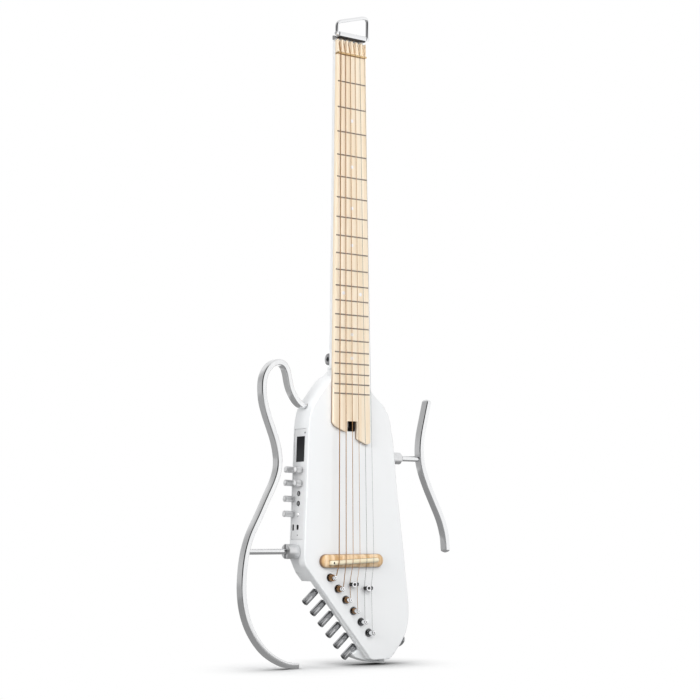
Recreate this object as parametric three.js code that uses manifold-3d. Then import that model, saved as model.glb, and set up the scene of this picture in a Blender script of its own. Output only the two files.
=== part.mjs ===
// Skeleton frame guitar: a slim hollow body with a bolt-on neck and two pull-off side frames.
// Lengths are in millimetres. +X is the treble side, +Y the back and +Z the head.
// While the pieces are drawn, Y is zero at the fret tops and Z is zero at the nut's lower face.
// The last lines move the origin to the hanging point, inside the top of the bail.
import * as THREE from 'three';
import { mergeVertices } from 'three/addons/utils/BufferGeometryUtils.js';
import Module from 'manifold-3d';

const wasm = await Module();
wasm.setup();

// Clearances that the whole guitar shares.
const fitGap = 0.3;
const runGap = 0.35;
const overrun = 3;

const weldGap = 1e-4;

const scaleLength = 648;
const fretCount = 20;
const stringCount = 6;
const pi = Math.PI;
const at = (x, y, z) => new THREE.Vector3(x, y, z);
const toBack = at(0, 1, 0);
const toHead = at(0, 0, 1);
const toTreble = at(1, 0, 0);

const board = {
  nutWidth: 45, lastFretWidth: 57.6, thickness: 5.7,
  fretHeight: 1, fretWidth: 2.2, fretInset: 0.8, fretRoot: 0.4,
  beyondLastFret: 38.1, leftCut: 4, leftTipBelow: 10.5, leftTipX: -10.5,
  notchLeftX: -7.4, notchRightX: 8.8, notchTopAbove: 3,
  rightStepBelow: 19.4, rightTipBelow: 26.2, rightTipX: 23.5, rightSideBelow: 24.4,
};

const neck = {
  depth: 14.7, headLength: 22.4, shaftInBody: 6,
  tongueWidth: 48, tongueShort: 5, profileSteps: 14,
};

const trussRod = {
  radius: 2.6, nutRadius: 4, nutLength: 9, startDrop: 12, nutBeyondTongue: 4, sides: 12,
  hexRadius: 2, hexDepth: 5, depthInNeck: 6.5,
};

const body = {
  length: 376, width: 165, depth: 34.5, edge: 2.5, bridgeShare: 0.6649,
  slabDepth: 14, recessTopShare: 0.7287, recessBefore: 8.9, recessAfter: 14.6, recessInset: 34,
  chamferRun: 16, chamferRise: 30,
  trussPocketDepth: 9, trussPocketBeyond: 4.6,
};

// The heel stands up behind the neck and carries the upper strap button.
const heel = {
  halfWidth: 11, above: 20, shortOfBack: 4.2, topDepth: 8, cornerAbove: 12, slopeDrop: 22, below: 26,
};

// The front outline: x as shares of body.width from the centre line, drops as shares of body.length.
const leftOutlineShares = [
  [-0.073, 0], [-0.176, 0.053], [-0.286, 0.113], [-0.345, 0.150], [-0.372, 0.188],
];
const wallTopShares = [-0.381, 0.215];
const wallEndShares = [-0.4206, 0.640];
const diagonalTopShares = [-0.414, 0.677];
const diagonalEndShares = [0.207, 0.997];
const bottomShares = [[0.232, 1], [0.385, 1]];
const lowerRightShares = [
  [0.417, 0.990], [0.474, 0.961], [0.500, 0.949], [0.548, 0.914], [0.570, 0.881],
  [0.579, 0.852], [0.577, 0.809], [0.559, 0.739], [0.521, 0.596], [0.474, 0.441],
  [0.434, 0.268], [0.417, 0.226], [0.392, 0.173], [0.338, 0.134],
];
const rightShoulderShares = [[0.225, 0.093], [0.16, 0.045], [0.073, 0]];

const cavity = {
  frontWall: 5.5, sideWall: 5.5, rightX: 42, topWall: 5.4, endWall: 4.6, corner: 4,
  coverLedge: 6, coverThickness: 2.2,
};

const panel = {
  topMargin: 2.8, endMargin: 18, frontMargin: 6, backMargin: 3.5, thickness: 3, ledge: 3.5, sideLedge: 1,
};

// What stands in the panel. Its places are shares of the panel, along it from the top and across it
// from the front.
const display = {
  alongShare: 0.1846, acrossShare: 0.448, heightShare: 0.2302, widthShare: 0.7, thickness: 1.2,
};
const statusLight = { alongShare: 0.0378, acrossShare: 0.092, radius: 1.1, length: 2.6 };
const knob = {
  radius: 3.9, skirtRadius: 4.3, skirtLength: 2, capRound: 0.75, shaftRadius: 1.6,
  longLength: 14.5, shortLength: 10, sides: 14,
};
const backKnobShares = [[0.3745, 0.88], [0.4947, 0.88], [0.6386, 0.88], [0.7745, 0.88]];
const frontKnobShares = [[0.376, 0.26], [0.4976, 0.26]];
const jack = {
  radius: 3, holeRadius: 1.75, holeDepth: 9, proud: 0.8, barrelRadius: 3.6, barrelLength: 6.4, sides: 12,
};
const jackShares = [[0.5882, 0.46], [0.6781, 0.46]];
const modeButton = {
  alongShare: 0.7767, acrossShare: 0.46, radius: 2.2, proud: 1.8, length: 5.2, flangeWider: 0.9,
};
const usbPort = { alongShare: 0.8932, acrossShare: 0.46, width: 3.4, height: 8.6 };
const cardSlot = { alongShare: 0.8947, acrossShare: 0.9, width: 2, height: 9.6 };
const resetHole = { alongShare: 0.9637, acrossShare: 0.46, radius: 0.8 };

const circuit = {
  thickness: 1.6, standoff: 7.4, margin: 4, potSize: 8.6, potGap: 1.2,
};
const battery = { width: 38, length: 62, depth: 12, centreX: 8, belowTop: 18 };

const bridge = {
  length: 100, height: 17.2, thickness: 7.9, beyondScale: 8, centreX: 0.2, edge: 1.6, endSteps: 7,
};
const saddle = {
  length: 74, width: 5.6, proud: 6.3, inSlot: 4.4, slantDegrees: 2.55, frontSteps: 6,
  holeRadius: 1.2, holeFromEnd: 3, belowBridge: 0.9,
};
const pickup = { thickness: 1.1, width: 3, length: 68 };

const nut = { height: 3, front: 2.3, slotGap: 0.3 };
const strings = {
  nutSpread: 38.2, saddleSpread: 54.7, centreX: 0.1, nutHeight: 1.2, anchorY: 4.6,
  diameters: [1.35, 1.07, 0.81, 0.61, 0.43, 0.33],
  sides: 6, turns: 3, stepsPerTurn: 14, turnGap: 0.55, ballRadius: 1.7, ballLength: 2.6,
  ballSides: 10, gapSkipShare: 0.4,
};

const headBlock = {
  front: 0.2, top: 19.4, channelWidth: 5.4, channelDepth: 5.4, channelFoot: 5, footSteps: 5,
  slotWidth: 2.2, slotDepth: 2.4,
};
const headClamp = {
  barHalfLength: 21.6, barBottom: 23, barHeight: 6.4, barDepth: 5, barRound: 1.2,
  plateHeight: 2.6, boreRadius: 2, boreDepth: 7, stringGap: 0.5, stringHoleSides: 8,
};
const bail = {
  rodRadius: 2.4, legX: 24.5, pivotHeight: 26.2, leftCornerHeight: 40.5, rightCornerHeight: 50,
  leftTopX: -14.5, leftTopHeight: 43.2, rightTopX: 18.5, rightTopHeight: 54.3,
  rightCurveX: 27.5, rightCurveHeight: 51.8, leftCurveX: -21.5, leftCurveHeight: 42.2,
  pinRadius: 1.65, pinLength: 6, steps: 34, sides: 10,
};

const tuner = {
  firstFromCorner: 36.9, pitch: 18.5, inset: 18.3,
  postRadius: 3, waistRadius: 2.6, postProud: 12.6, tipLength: 2.4, tipRound: 0.45,
  washerRadius: 5.3, washerThickness: 1.2, sleeveRadius: 4.6,
  wormOffset: 8.2, wheelRadius: 4.9, wheelThickness: 5, wormRadius: 2.95, wormLength: 10,
  housingDepth: 13.4, housingAlongPost: 6, housingGap: 0.4, housingHalf: 8,
  axisBehindSlab: 7.2, shaftRadius: 1.9,
  buttonRadius: 4.6, buttonLength: 20.5, buttonStart: 18.4, collarRadius: 3.2, collarLength: 1.8,
  tipRecessRadius: 2.4, tipRecessDepth: 1.6, roundOff: 0.9, sides: 12,
};

const stringTree = {
  barLength: 13.6, barHeight: 4.6, barThickness: 1.5, stemRadius: 2.2, barFront: -1.9,
  headRadius: 2.1, headHeight: 0.9, sides: 10,
};
const stringTreeShares = [0.7436, 0.7572];

const frameBar = { depth: 13, width: 7.6, corner: 3.1, cornerSteps: 2 };
const collar = {
  leftRadius: 9.4, leftLength: 17, rightRadius: 9, rightLength: 22.5,
  noseRadius: 4.9, rimLength: 5, slotWidth: 3, slotDepth: 3.4, roundOff: 1.2, sides: 20,
};
const leftFrame = {
  socketX: -55, aboveBody: 4, belowBody: 8, reach: 97, strutRadius: 3.65,
  pegRadius: 3, pegLength: 15, strutBite: 8, steps: 50,
};
// The left frame's centre line: x as shares of its reach from the socket, drops as shares of its height.
const strutPlaceShares = [0.933, 0.6232];
const leftFrameShares = [
  [0.055, 0.1513], [0.115, 0.148], [0.193, 0.129], [0.262, 0.100], [0.300, 0.069],
  [0.318, 0.043], [0.363, 0.020], [0.433, 0.011], [0.53, 0.016], [0.627, 0.036],
  [0.686, 0.065], [0.701, 0.098], [0.686, 0.137], [0.637, 0.180], [0.567, 0.223],
  [0.500, 0.265], [0.458, 0.308], [0.453, 0.355], [0.505, 0.397], [0.611, 0.448],
  [0.747, 0.514], [0.876, 0.574], [0.955, 0.638], [0.990, 0.718], [0.979, 0.778],
  [0.921, 0.837], [0.813, 0.890], [0.640, 0.940], [0.435, 0.972], [0.288, 0.985], [0.139, 0.987],
];
const rightFrame = {
  innerX: 127.3, belowTip: 37, aboveFoot: 135, reach: 44.5, stemRadius: 3.8, stemBite: 8, steps: 22,
};
// The right frame's centre line: x as shares of its reach from its innermost point, drops of its height.
const stemPlaceShares = [0.027, 0.3936];
const rightFrameShares = [
  [0.321, 0], [0.160, 0.138], [0.036, 0.252], [0, 0.357], [0.083, 0.461], [0.299, 0.573],
  [0.564, 0.684], [0.822, 0.796], [0.955, 0.901], [0.993, 1],
];

const strapButton = {
  radius: 7.3, waistRadius: 3.6, baseRadius: 4.8, length: 8.2, rimLength: 2.4, baseLength: 1.4,
  recessRadius: 3, recessDepth: 1.4, seatDepth: 1.2, sides: 16,
};
const strapPlaces = { heelAbove: 7.8, heelFromTongue: 5.8, bodyShare: 0.9348, bodyFromFront: 13 };

// Planes that follow from the sizes above.
const boardFrontY = board.fretHeight;
const boardBackY = boardFrontY + board.thickness;
const soundboardY = boardBackY + fitGap;
const bodyBackY = soundboardY + body.depth;
const slabBackY = soundboardY + body.slabDepth;
const midY = soundboardY + body.depth / 2;
const tongueBackY = soundboardY + neck.depth;
const bridgeFrontY = soundboardY - fitGap - bridge.thickness;
const saddleFrontY = bridgeFrontY - saddle.proud;
const saddleBackY = bridgeFrontY + saddle.inSlot;
const cavityFrontY = soundboardY + cavity.frontWall;
const coverFrontY = bodyBackY - cavity.coverThickness;
const treeBackY = stringTree.barFront + stringTree.barThickness;
const woundStrings = 4;

// Drops that follow from them. The scale length sets the bridge, and the body hangs from the bridge.
const bridgeDrop = scaleLength + bridge.beyondScale;
const saddleDrop = bridgeDrop + saddle.belowBridge;
const tipDrop = bridgeDrop - body.bridgeShare * body.length;
const alongBody = (share) => tipDrop + share * body.length;
const shaftDrop = tipDrop + neck.shaftInBody;
const boardEndDrop = fretDrop(fretCount) + board.beyondLastFret;
const notchTopDrop = boardEndDrop - board.notchTopAbove;
const leftTipDrop = boardEndDrop + board.leftTipBelow;
const tongueDrop = notchTopDrop - neck.tongueShort;
const trussNutDrop = tongueDrop + trussRod.nutBeyondTongue;
const trussPocketDrop = trussNutDrop + trussRod.nutLength + body.trussPocketBeyond;
const cavityTopDrop = trussPocketDrop + cavity.topWall;
const strapBodyDrop = alongBody(strapPlaces.bodyShare);

// Places on the side frames: a share of the reach, then a share of the height.
const leftFrameTop = tipDrop - leftFrame.aboveBody;
const leftFrameHeight = body.length + leftFrame.aboveBody + leftFrame.belowBody;
const rightFrameTop = tipDrop + rightFrame.belowTip;
const rightFrameHeight = body.length - rightFrame.belowTip - rightFrame.aboveFoot;
const onLeftFrame = ([reachShare, heightShare]) =>
  at(leftFrame.socketX - reachShare * leftFrame.reach, midY, -leftFrameTop - heightShare * leftFrameHeight);
const onRightFrame = ([reachShare, heightShare]) => at(
  rightFrame.innerX + reachShare * rightFrame.reach, midY, -rightFrameTop - heightShare * rightFrameHeight);
const strutPoint = onLeftFrame(strutPlaceShares);
const stemPoint = onRightFrame(stemPlaceShares);

// Finishes.
const finish = (color, roughness, metalness) =>
  new THREE.MeshStandardMaterial({ color, roughness, metalness });
const white = finish(0xf1f1ef, 0.25, 0);
const paleMaple = finish(0xecd3a6, 0.45, 0);
const amberMaple = finish(0xd9aa67, 0.4, 0);
const bone = finish(0xf3e7cb, 0.4, 0);
const chrome = finish(0xc9ccd0, 0.12, 1);
const satinSilver = finish(0xc3c5c8, 0.38, 1);
const brass = finish(0xc79a4b, 0.3, 1);
const bronze = finish(0xb98350, 0.35, 1);
const steel = finish(0xb9bcc0, 0.3, 1);
const darkGlass = finish(0x151619, 0.15, 0);
const black = finish(0x202124, 0.5, 0);
const paleGrey = finish(0xdfe0e1, 0.4, 0);
const boardGreen = finish(0x24543a, 0.5, 0);
const cellBlue = finish(0x30506e, 0.5, 0);

const guitar = new THREE.Group();

// The bail hangs in the plane of the fret tops, and the hook bears in its middle.
const bailY = 0;
const hangX = 0;
const bailSlope = (bail.rightTopHeight - bail.leftTopHeight) / (bail.rightTopX - bail.leftTopX);
const bailTopZ = bail.leftTopHeight + bailSlope * (hangX - bail.leftTopX);

// Solids and meshes.
function solidOf(geometry) {
  const bare = geometry.index ? geometry.toNonIndexed() : geometry.clone();
  bare.deleteAttribute('normal');
  bare.deleteAttribute('uv');
  const merged = mergeVertices(bare, weldGap);
  const vertProperties = new Float32Array(merged.attributes.position.array);
  const kept = [];
  for (let first = 0; first < merged.index.count; first += 3) {
    const [a, b, c] = [0, 1, 2].map((corner) => merged.index.getX(first + corner));
    if (a !== b && b !== c && c !== a) kept.push(a, b, c);
  }
  const triVerts = new Uint32Array(kept);
  return new wasm.Manifold(new wasm.Mesh({ numProp: 3, vertProperties, triVerts }));
}

function geometryOf(solid) {
  const raw = solid.getMesh();
  const geometry = new THREE.BufferGeometry();
  geometry.setAttribute('position', new THREE.BufferAttribute(new Float32Array(raw.vertProperties), 3));
  geometry.setIndex(new THREE.BufferAttribute(new Uint32Array(raw.triVerts), 1));
  geometry.computeVertexNormals();
  return geometry;
}

function addPiece(name, shape, material, parent = guitar) {
  const geometry = shape.getMesh ? geometryOf(shape) : shape;
  const mesh = new THREE.Mesh(geometry, material);
  mesh.name = name;
  parent.add(mesh);
  return mesh;
}

// A closed outline in X and Z, thick from frontY to backY, with edges rounded by bevel.
function plate(points, frontY, backY, bevel = 0, bevelSteps = 2) {
  const outline = new THREE.Shape(points.map(([x, z]) => new THREE.Vector2(x, z)));
  const geometry = new THREE.ExtrudeGeometry(outline, {
    depth: backY - frontY - 2 * bevel, bevelEnabled: bevel > 0, bevelThickness: bevel,
    bevelSize: bevel, bevelOffset: -bevel, bevelSegments: bevelSteps, steps: 1,
  });
  geometry.rotateX(pi / 2);
  geometry.translate(0, backY - bevel, 0);
  return geometry;
}

function block(lowX, highX, lowY, highY, lowZ, highZ) {
  const geometry = new THREE.BoxGeometry(highX - lowX, highY - lowY, highZ - lowZ);
  geometry.translate((lowX + highX) / 2, (lowY + highY) / 2, (lowZ + highZ) / 2);
  return geometry;
}

// A turned piece: profile pairs of radius and height, from the axis back to the axis.
function turned(profile, sides) {
  return new THREE.LatheGeometry(profile.map(([r, h]) => new THREE.Vector2(r, h)), sides);
}

// A turned piece whose axis starts at a point and runs along a direction.
function turnedAlong(profile, sides, start, direction) {
  const geometry = turned(profile, sides);
  const turn = new THREE.Quaternion().setFromUnitVectors(toBack, direction.clone().normalize());
  geometry.applyQuaternion(turn);
  geometry.translate(start.x, start.y, start.z);
  return geometry;
}

function rod(start, end, radius, sides) {
  const run = end.clone().sub(start);
  return turnedAlong([[0, 0], [radius, 0], [radius, run.length()], [0, run.length()]], sides, start, run);
}

function cut(solid, ...cutters) {
  return cutters.reduce((rest, cutter) => rest.subtract(cutter.getMesh ? cutter : solidOf(cutter)), solid);
}

function join(solid, ...others) {
  return others.reduce((sum, other) => sum.add(other.getMesh ? other : solidOf(other)), solid);
}

// Body outline and places on it.
const outlinePoint = ([xShare, dropShare]) => [xShare * body.width, -alongBody(dropShare)];
const wallTop = outlinePoint(wallTopShares);
const wallEnd = outlinePoint(wallEndShares);
const diagonalTop = outlinePoint(diagonalTopShares);
const diagonalEnd = outlinePoint(diagonalEndShares);

function smooth(shares, stepsPerPoint) {
  const knots = shares.map(outlinePoint).map(([x, z]) => new THREE.Vector2(x, z));
  return new THREE.SplineCurve(knots).getPoints(knots.length * stepsPerPoint).map((p) => [p.x, p.y]);
}

const bodyOutline = [
  ...smooth(leftOutlineShares, 1), wallTop, wallEnd, diagonalTop, diagonalEnd,
  ...bottomShares.map(outlinePoint), ...smooth(lowerRightShares, 1.5),
  ...rightShoulderShares.map(outlinePoint),
];

// The treble side's x on the body outline at a height.
function rightEdgeX(z) {
  let found = 0;
  bodyOutline.forEach(([x1, z1], index) => {
    const [x2, z2] = bodyOutline[(index + 1) % bodyOutline.length];
    const crosses = (z1 - z) * (z2 - z) <= 0 && z1 !== z2;
    if (crosses) found = Math.max(found, x1 + ((x2 - x1) * (z - z1)) / (z2 - z1));
  });
  return found;
}

const wallAngle = Math.atan2(wallTop[0] - wallEnd[0], wallTop[1] - wallEnd[1]);
const wallNormal = at(-Math.cos(wallAngle), 0, Math.sin(wallAngle));
const wallX = (z) =>
  wallTop[0] + ((wallEnd[0] - wallTop[0]) * (wallTop[1] - z)) / (wallTop[1] - wallEnd[1]);

const diagonal = at(diagonalEnd[0] - diagonalTop[0], 0, diagonalEnd[1] - diagonalTop[1]).normalize();
const inward = at(-diagonal.z, 0, diagonal.x);
const fromCorner = (along, inset, y) =>
  at(diagonalTop[0], y, diagonalTop[1]).addScaledVector(diagonal, along).addScaledVector(inward, inset);

// Strings: their places at the nut, the saddle and the posts.
const stringShare = (index) => index / (stringCount - 1) - 1 / 2;
const nutX = (index) => strings.centreX + stringShare(index) * strings.nutSpread;
const saddleX = (index) => strings.centreX + stringShare(index) * strings.saddleSpread;
const stringRadius = (index) => strings.diameters[index] / 2;
const saddleSlant = THREE.MathUtils.degToRad(saddle.slantDegrees);
const saddleZ = (x) => -saddleDrop + (x - bridge.centreX) * Math.tan(saddleSlant);
const postCentre = (index, y) => fromCorner(tuner.firstFromCorner + index * tuner.pitch, tuner.inset, y);

const boardHalf = (drop) =>
  (board.nutWidth + ((board.lastFretWidth - board.nutWidth) * drop) / fretDrop(fretCount)) / 2;
function fretDrop(fret) {
  return scaleLength * (1 - 2 ** (-fret / 12));
}

// Neck: a C profile that widens towards the body, with a square tongue under the board's end.
function makeNeck() {
  const half = board.nutWidth / 2;
  const profile = [new THREE.Vector2(-half, 0), new THREE.Vector2(half, 0)];
  for (let step = 1; step < neck.profileSteps; step += 1) {
    const angle = (pi * step) / neck.profileSteps;
    profile.push(new THREE.Vector2(half * Math.cos(angle), neck.depth * Math.sin(angle) ** (2 / 3)));
  }
  const length = neck.headLength + shaftDrop;
  const shaft = new THREE.ExtrudeGeometry(new THREE.Shape(profile), { depth: length, bevelEnabled: false });
  shaft.translate(0, soundboardY, -shaftDrop);
  const points = shaft.attributes.position;
  for (let index = 0; index < points.count; index += 1) {
    const drop = Math.max(0, -points.getZ(index));
    points.setX(index, (points.getX(index) * boardHalf(drop)) / half);
  }
  const tongueHalf = neck.tongueWidth / 2;
  const tongue = block(
    -tongueHalf, tongueHalf, soundboardY, tongueBackY, -tongueDrop, -shaftDrop + overrun);
  const rodY = soundboardY + trussRod.depthInNeck;
  const channel = rod(at(0, rodY, -trussRod.startDrop), at(0, rodY, -tongueDrop - overrun),
    trussRod.radius + fitGap, trussRod.sides);
  return cut(join(solidOf(shaft), tongue), channel);
}

function makeFretboard() {
  const lowerHalf = boardHalf(boardEndDrop);
  const rightStepDrop = boardEndDrop + board.rightStepBelow;
  const outline = [
    [-board.nutWidth / 2, -fitGap], [-lowerHalf, -boardEndDrop],
    [-lowerHalf + board.leftCut, -boardEndDrop - board.leftCut],
    [board.leftTipX, -leftTipDrop], [board.notchLeftX, -leftTipDrop],
    [board.notchLeftX, -notchTopDrop], [board.notchRightX, -notchTopDrop],
    [board.notchRightX, -rightStepDrop], [board.rightTipX, -boardEndDrop - board.rightTipBelow],
    [lowerHalf, -boardEndDrop - board.rightSideBelow], [board.nutWidth / 2, -fitGap],
  ];
  const wood = solidOf(plate(outline, boardFrontY, boardBackY));
  const frets = [];
  for (let fret = 1; fret <= fretCount; fret += 1) {
    const drop = fretDrop(fret);
    const half = boardHalf(drop) - board.fretInset;
    const crown = new THREE.Shape([
      new THREE.Vector2(-board.fretWidth / 2, boardFrontY + board.fretRoot),
      new THREE.Vector2(-board.fretWidth / 2, boardFrontY - board.fretHeight / 3),
      new THREE.Vector2(-board.fretWidth / 4, 0), new THREE.Vector2(board.fretWidth / 4, 0),
      new THREE.Vector2(board.fretWidth / 2, boardFrontY - board.fretHeight / 3),
      new THREE.Vector2(board.fretWidth / 2, boardFrontY + board.fretRoot),
    ]);
    const wire = new THREE.ExtrudeGeometry(crown, { depth: 2 * half, bevelEnabled: false });
    wire.rotateY(-pi / 2);
    wire.translate(half, 0, -drop);
    frets.push(wire);
  }
  return join(wood, ...frets);
}

function makeNut() {
  const half = board.nutWidth / 2;
  const bar = solidOf(block(-half, half, -nut.front, boardBackY, 0, nut.height));
  const slots = strings.diameters.map((diameter, index) => {
    const reach = diameter / 2 + nut.slotGap;
    return block(nutX(index) - reach, nutX(index) + reach, -nut.front - overrun, -strings.nutHeight + reach,
      -overrun, nut.height + overrun);
  });
  return cut(bar, ...slots);
}

// Head block: one U channel for each string, with a narrow slot from its foot to the nut.
function makeHeadBlock() {
  const half = board.nutWidth / 2;
  const bottom = nut.height + fitGap;
  const wood = solidOf(block(-half, half, headBlock.front, boardBackY, bottom, headBlock.top));
  const cutters = [];
  strings.diameters.forEach((diameter, index) => {
    const x = nutX(index);
    const radius = headBlock.channelWidth / 2;
    const foot = bottom + headBlock.channelFoot - radius / 2;
    const outline = [[x + radius, headBlock.top + overrun], [x - radius, headBlock.top + overrun]];
    for (let step = 0; step <= headBlock.footSteps; step += 1) {
      const angle = pi + (pi * step) / headBlock.footSteps;
      outline.push([x + radius * Math.cos(angle), foot + radius * Math.sin(angle)]);
    }
    cutters.push(plate(outline, headBlock.front - overrun, headBlock.front + headBlock.channelDepth));
    const slotHalf = headBlock.slotWidth / 2;
    cutters.push(block(x - slotHalf, x + slotHalf, headBlock.front - overrun,
      headBlock.front + headBlock.slotDepth, bottom - overrun, foot));
  });
  return cut(wood, ...cutters);
}

// Head clamp: a round-edged bar in front and a plate over the neck's end, with a bore at each end.
function makeHeadClamp() {
  const { barHalfLength, barBottom, barHeight, barDepth, barRound, plateHeight } = headClamp;
  const top = barBottom + barHeight;
  const front = bailY - barDepth / 2;
  const outline = [
    [front + barRound, barBottom], [front, barBottom + barRound], [front, top - barRound],
    [front + barRound, top], [front + barDepth - barRound, top], [front + barDepth, top - barRound],
    [front + barDepth, barBottom + plateHeight], [tongueBackY - fitGap, barBottom + plateHeight],
    [tongueBackY - fitGap, barBottom],
  ];
  const section = new THREE.Shape(outline.map(([y, z]) => new THREE.Vector2(y, z)));
  const bar = new THREE.ExtrudeGeometry(section, { depth: 2 * barHalfLength, bevelEnabled: false });
  bar.applyMatrix4(new THREE.Matrix4().makeBasis(toBack, toHead, toTreble));
  bar.translate(-barHalfLength, 0, 0);
  const bores = [-1, 1].map((side) => rod(
    at(side * (barHalfLength - headClamp.boreDepth), bailY, bail.pivotHeight),
    at(side * (barHalfLength + overrun), bailY, bail.pivotHeight), headClamp.boreRadius, bail.sides));
  const stringHoles = strings.diameters.map((diameter, index) => rod(
    at(nutX(index), strings.anchorY, barBottom - overrun),
    at(nutX(index), strings.anchorY, barBottom + plateHeight + overrun),
    diameter / 2 + headClamp.stringGap, headClamp.stringHoleSides));
  return cut(solidOf(bar), ...bores, ...stringHoles);
}

function bailPath() {
  const { legX, pivotHeight } = bail;
  const corners = [
    [-legX, pivotHeight], [-legX, (pivotHeight + bail.leftCornerHeight) / 2],
    [-legX, bail.leftCornerHeight - bail.rodRadius],
    [bail.leftCurveX, bail.leftCurveHeight - bail.rodRadius / 3],
    [bail.leftTopX, bail.leftTopHeight + bail.rodRadius / 3], [hangX, bailTopZ],
    [bail.rightTopX, bail.rightTopHeight],
    [bail.rightCurveX - bail.rodRadius, bail.rightCurveHeight + bail.rodRadius / 2],
    [legX, bail.rightCornerHeight - bail.rodRadius], [legX, (pivotHeight + bail.rightCornerHeight) / 2],
    [legX, pivotHeight],
  ];
  return new THREE.CatmullRomCurve3(corners.map(([x, z]) => at(x, bailY, z)), false, 'centripetal');
}

function makeBail() {
  const section = new THREE.Shape();
  section.absarc(0, 0, bail.rodRadius, 0, 2 * pi);
  const loop = new THREE.ExtrudeGeometry(section, {
    steps: bail.steps, curveSegments: bail.sides / 2, extrudePath: bailPath(),
  });
  const { legX, pivotHeight, rodRadius, pinRadius, pinLength } = bail;
  const pins = [-1, 1].map((side) => rod(
    at(side * (legX + rodRadius), bailY, pivotHeight),
    at(side * (headClamp.barHalfLength - pinLength), bailY, pivotHeight), pinRadius, bail.sides));
  const knuckles = [-1, 1].map((side) => rod(
    at(side * (legX + rodRadius), bailY, pivotHeight), at(side * (legX - rodRadius), bailY, pivotHeight),
    rodRadius, bail.sides));
  return join(solidOf(loop), ...knuckles, ...pins);
}

// Body: the outline's full depth, thinned to a slab along the tuner edge, hollow behind its front.
function recessOutline() {
  const top = -alongBody(body.recessTopShare);
  const far = -body.width;
  const start = tuner.firstFromCorner - body.recessBefore;
  const end = tuner.firstFromCorner + (stringCount - 1) * tuner.pitch + body.recessAfter;
  const edgePoint = (along, inset) => {
    const point = fromCorner(along, inset, 0);
    return [point.x, point.z];
  };
  return [
    [far, top + body.chamferRise], [wallX(top + body.chamferRise), top + body.chamferRise],
    [wallX(top) + body.chamferRun, top], edgePoint(start, 0), edgePoint(start, body.recessInset),
    edgePoint(end, body.recessInset), edgePoint(end, -body.recessInset), [far, -alongBody(1)],
  ];
}

const panelTopDrop = panel.topMargin - wallTop[1];
const panelBottomDrop = -wallEnd[1] - panel.endMargin;
const panelFrontY = soundboardY + panel.frontMargin;
const panelBackY = bodyBackY - panel.backMargin;
const alongPanel = (share) => panelTopDrop + share * (panelBottomDrop - panelTopDrop);
const acrossPanel = (share) => panelFrontY + share * (panelBackY - panelFrontY);
const cavityBottomDrop = panelBottomDrop - cavity.endWall;
const cavityLeft = (z) => wallX(z) + cavity.sideWall;
const knobPlaces = [
  ...backKnobShares.map((shares) => ({ shares, length: knob.longLength })),
  ...frontKnobShares.map((shares) => ({ shares, length: knob.shortLength })),
];

function cavityOutline(grow) {
  const top = -cavityTopDrop + grow;
  const bottom = -cavityBottomDrop - grow;
  return [
    [cavityLeft(top) - grow / 2, top], [cavityLeft(bottom) - grow / 2, bottom],
    [cavity.rightX + grow - cavity.corner, bottom], [cavity.rightX + grow, bottom + cavity.corner],
    [cavity.rightX + grow, top - cavity.corner], [cavity.rightX + grow - cavity.corner, top],
  ];
}

const onWall = (drop, y, out) => at(wallX(-drop), y, -drop).addScaledVector(wallNormal, out);
const onPanel = ([along, across], out) => onWall(alongPanel(along), acrossPanel(across), out);

// A box on the left wall, given by its drops, its Y range and how far it reaches out of the wall.
function wallBlock(topDrop, bottomDrop, frontY, backY, inner, outer) {
  const middle = (topDrop + bottomDrop) / 2;
  const geometry = new THREE.BoxGeometry(outer - inner, backY - frontY, bottomDrop - topDrop);
  geometry.rotateY(wallAngle);
  const centre = onWall(middle, (frontY + backY) / 2, (outer + inner) / 2);
  geometry.translate(centre.x, centre.y, centre.z);
  return geometry;
}

const pegPoint = onLeftFrame(leftFrameShares[0]);
const pegEnd = at(leftFrame.socketX + leftFrame.pegLength, midY, pegPoint.z);
const leftWallX = wallX(strutPoint.z);
const rightWallX = rightEdgeX(stemPoint.z);

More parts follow.
